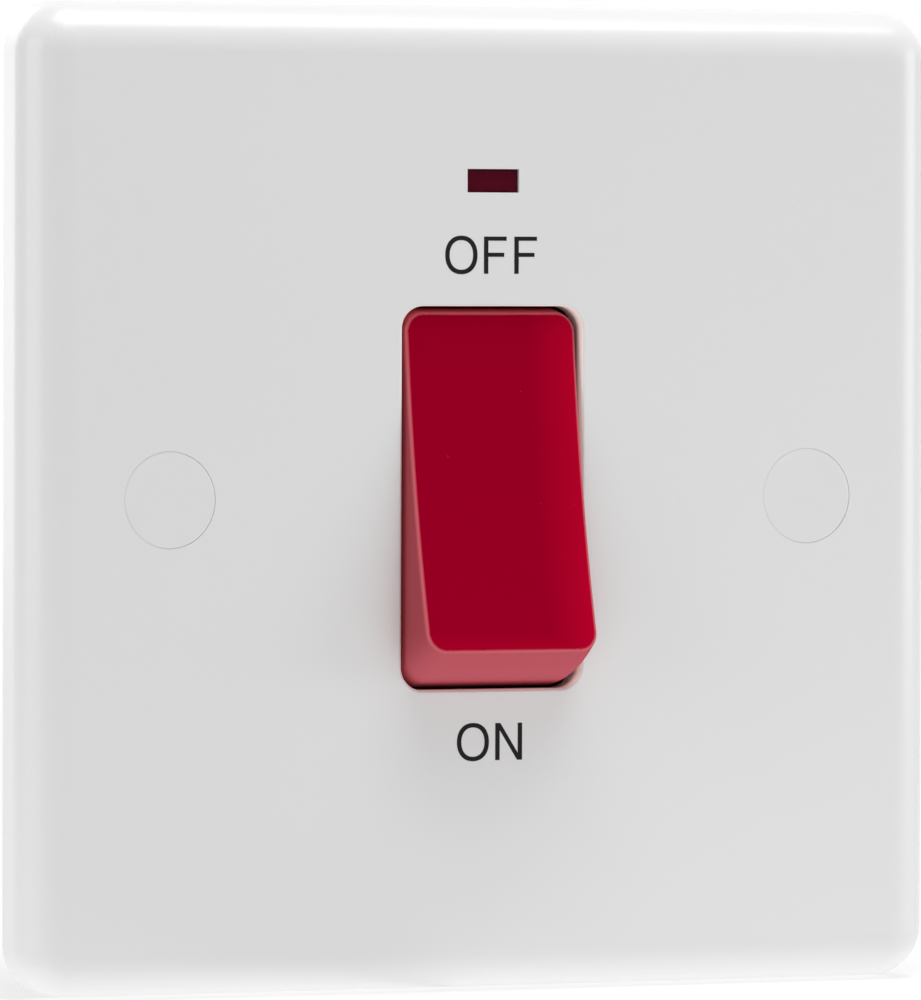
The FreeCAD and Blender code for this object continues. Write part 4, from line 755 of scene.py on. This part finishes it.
inside = [(0, -half_tube + 0.9e-3), (0.6 * bulb, -half_tube + 0.95e-3), (bulb - wall, -half_tube + 1.5e-3),
          (bulb - wall, half_tube - 3.1e-3), (0.72 * bulb, half_tube - 2.4e-3),
          (0.4 * bulb, half_tube - 1.9e-3), (0, half_tube - 1.8e-3)]
hollow = turned(inside, 40)
hollow.flip_normals()
tube = [turned(outside, 40), hollow]
rods = []
rod_start, rod_end, rod_radius, rod_bevel, rod_apart = -4.6e-3, 2.0e-3, 0.25e-3, 0.05e-3, 0.75e-3
for way in (-1, 1):
    rod_mesh = turned([(0, rod_start), (rod_radius - rod_bevel, rod_start), (rod_radius, rod_start + 0.1e-3),
                       (rod_radius, rod_end - 0.1e-3), (rod_radius - rod_bevel, rod_end), (0, rod_end)], 16)
    rod_mesh.transform(Matrix.Translation((0.0, rod_apart * way, 0.0))
                       @ Matrix.Rotation(math.pi * (way > 0), 4, "X"))
    rods.append(rod_mesh)
for mesh in tube + rods:
    mesh.transform(Matrix.Translation(middle) @ Matrix.Rotation(math.pi / 2, 4, "Y"))
lamp_body = frame["nodes"]["neon_lamp"]["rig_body"]
assemble("lamp_glass", tube, clear_glass, lamp_body, 60.0)
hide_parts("neon_lamp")
assemble("lamp_electrodes", rods, electrode_grey, lamp_body)


# A small resistor in line with the neon drops the mains voltage: a lacquered barrel with raised
# ends and four colour rings. Its tinned leads and the lamp's are bent round to the load strips.
barrel = Finish("resistor_lacquer")
low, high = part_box("neon_resistor")
_, along_barrel, _ = barrel.split(barrel.place)
FIRST_RING, RING_STEP, LAST_GAP, RING_HALF = 0.22, 0.17, 0.06, 0.00026
lacquer_cloud = barrel.noise(0.8, 2.0)
ring_colour = barrel.mix(lacquer_cloud, srgb(205, 178, 134), srgb(196, 166, 120))
ring_tints = (srgb(176, 60, 34), srgb(226, 196, 40), srgb(178, 60, 36), srgb(170, 138, 60))
for step, tint in enumerate(ring_tints):
    along = FIRST_RING + RING_STEP * step + LAST_GAP * (step == 3)
    ring_at = low.y + (high.y - low.y) * along
    off_ring = (along_barrel - ring_at).math("ABSOLUTE") + lacquer_cloud * 0.00004
    ring_colour = barrel.mix(off_ring.math("LESS_THAN", RING_HALF), ring_colour, tint)
resistor_body = barrel.set(Base_Color=ring_colour, Roughness=0.28 + 0.1 * lacquer_cloud,
                           Normal=barrel.bump(lacquer_cloud, 0.008, 0.4))
fine_copy("neon_resistor", "resistor_barrel", resistor_body, 50.0)
tin = Finish("tinned_wire")
tin_cloud = tin.noise(0.5, 3.0)
tinned = tin.set(Base_Color=tin.mix(tin_cloud, srgb(206, 206, 204), srgb(186, 186, 186)), Metallic=1.0,
                 Roughness=0.24 + 0.16 * tin_cloud, Normal=tin.bump(tin_cloud, 0.004, 0.4))
for run in ("neutral", "resistor", "live"):
    fine_copy(f"neon_lead_{run}", f"lead_{run}", tinned, 70.0)


# Frame and base are black phenolic mouldings, a satin skin with the faint mottle of the filler.
# The frame bears the rocker, blades and neon; the base closes it and holds the terminals.
phenolic = Finish("phenolic_moulding")
mottle = phenolic.noise(1.8, 4.0)
filler = phenolic.noise(0.22, 2.0)
housing_black = phenolic.set(
    Base_Color=phenolic.mix(mottle, srgb(38, 38, 40), srgb(50, 49, 50)),
    Roughness=0.40 + 0.14 * mottle, Specular_IOR_Level=0.4,
    Normal=phenolic.bump(filler * 0.6 + mottle * 0.4, 0.012, 0.45))
fine_copy("mechanism_frame", "frame_moulding", housing_black)
fine_copy("switch_base", "base_moulding", housing_black)


# Four thread-forming screws of zinc-plated steel go through base and frame into blind posts
# behind the plate, with a low round head and a sawn slot.
low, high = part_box("base_screws")
long = high.y - low.y
crown_radius, head_high = 2.7e-3, 1.8e-3
forming_radius, forming_pitch, forming_depth = 1.45e-3, 1.1e-3, 0.42e-3
head_outline = [(0, head_high + 0.06e-3), (crown_radius - 0.06e-3, head_high + 0.06e-3),
                (crown_radius, head_high), (crown_radius, 0.52e-3), (crown_radius - 0.1e-3, 0.32e-3),
                (crown_radius - 0.26e-3, 0.15e-3), (crown_radius - 0.5e-3, 0.04e-3),
                (crown_radius - 0.75e-3, 0), (0, 0)]
fastened = []
for x in (low.x + crown_radius, high.x - crown_radius):
    for z in (low.z + crown_radius, high.z - crown_radius):
        blank = turned([(radius, long - down) for radius, down in head_outline])
        head_mesh = sawn(blank, SLOT_WIDE, long - SLOT_DEEP, long + SAW_CLEAR)
        shank = threaded(forming_radius, 0.0, long - 1.5e-3, forming_pitch, forming_depth, zinc_steel)
        for mesh in (head_mesh, shank):
            mesh.transform(into_wall(x, low.y, z))
            fastened.append(mesh)
assemble("base_screw_set", fastened, zinc_steel, frame["nodes"]["base_screws"]["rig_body"])
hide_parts("base_screws")


# Studio: a pale floor that the plate's lower edge stands on and that throws light back up at it, a
# white surround, soft lamps above, beside and behind, and the camera where the photograph was
# taken from. Floor and surround look white to the camera, in mirrors and through glass.
def looked_at(tree):
    """1 where a ray comes from the camera, straight or by a mirror or glass, and 0 elsewhere."""
    paths = tree.node("ShaderNodeLightPath").socket.node.outputs
    return (Wire(tree, paths["Is Camera Ray"]) + Wire(tree, paths["Is Glossy Ray"])
            + Wire(tree, paths["Is Transmission Ray"])).math("MINIMUM", 1.0)


floor_mesh = bpy.data.meshes.new("floor")
half = 2.5
floor_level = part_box("front_plate")[0].z - 0.0002
floor_mesh.from_pydata([(-half, -half, floor_level), (half, -half, floor_level), (half, half, floor_level),
                        (-half, half, floor_level)], [], [(0, 1, 2, 3)])
floor = bpy.data.objects.new("floor", floor_mesh)
bpy.context.scene.collection.objects.link(floor)
ground = Finish("floor_paint")
mottle = ground.noise(60.0, 2.0)
ground.set(Base_Color=ground.mix(mottle, srgb(250, 250, 250), srgb(253, 253, 253)), Roughness=0.9)
glow = ground.node("ShaderNodeEmission", sockets={"Color": (1, 1, 1, 1), "Strength": 1.0})
away = ground.node("ShaderNodeVectorMath", {"operation": "LENGTH"}, {0: ground.place}, out="Value")
glowing_share = looked_at(ground) * away.ramp(0.12, 0.55, 0.6, 1.0)
blend = ground.node("ShaderNodeMixShader", sockets={
    0: glowing_share, 1: Wire(ground, ground.shader.outputs[0]), 2: glow})
paths = ground.node("ShaderNodeLightPath").socket.node.outputs
thrown_back = away.ramp(0.05, 0.30, 1.0, 0.0) * Wire(ground, paths["Is Diffuse Ray"])
bright = ground.node("ShaderNodeEmission", sockets={"Color": (1, 1, 1, 1), "Strength": 1.3})
blend = ground.node("ShaderNodeMixShader", sockets={0: thrown_back, 1: blend, 2: bright})
ground.tree.links.new(blend.socket, ground.tree.nodes["Material Output"].inputs["Surface"])
floor_mesh.materials.append(ground.material)

world = bpy.data.worlds.new("studio")
bpy.context.scene.world = world
world.use_nodes = True
sky = Tree(world.node_tree)
surround = world.node_tree.nodes["Background"]
surround.inputs["Color"].default_value = (1, 1, 1, 1)
DIM = 0.27
world.node_tree.links.new((DIM + (1 - DIM) * looked_at(sky)).socket, surround.inputs["Strength"])

for name, place, aim, size, power in (
        ("overhead", (0.05, -0.14, 0.70), (0.0, -0.05, 0.0), 0.5, 4.7),
        ("left_side", (-0.84, -0.07, 0.10), (0.0, 0.0, 0.0), 0.6, 2.3),
        ("right_side", (0.78, -0.28, 0.05), (0.0, 0.0, 0.0), 0.45, 2.1),
        ("behind", (-0.25, 0.85, 0.25), (0.0, 0.0, 0.0), 0.6, 1.5)):
    lamp = bpy.data.lights.new(name, "AREA")
    lamp.shape = "SQUARE"
    lamp.size = size
    lamp.energy = power
    holder = bpy.data.objects.new(name, lamp)
    bpy.context.scene.collection.objects.link(holder)
    holder.location = place
    holder.rotation_euler = (Vector(aim) - Vector(place)).to_track_quat("-Z", "Y").to_euler()

shot = bpy.data.cameras.new("photograph")
shot.sensor_width = 36.0
shot.lens = 348.13
shot.clip_start = 0.01
viewer = bpy.data.objects.new("photograph", shot)
bpy.context.scene.collection.objects.link(viewer)
yaw, pitch, roll = -0.3946, -0.0254, -0.0032
turn = Matrix.Rotation(yaw, 3, "Z") @ Matrix.Rotation(pitch, 3, "X") @ Matrix.Rotation(roll, 3, "Y")
right, forward, up = turn.col
viewer.matrix_world = Matrix.Translation((-0.32736, -0.78553, 0.02127)) @ Matrix(
    ((right[0], up[0], -forward[0]), (right[1], up[1], -forward[1]), (right[2], up[2], -forward[2]))).to_4x4()
bpy.context.scene.camera = viewer
bpy.context.scene.view_settings.view_transform = "Standard"
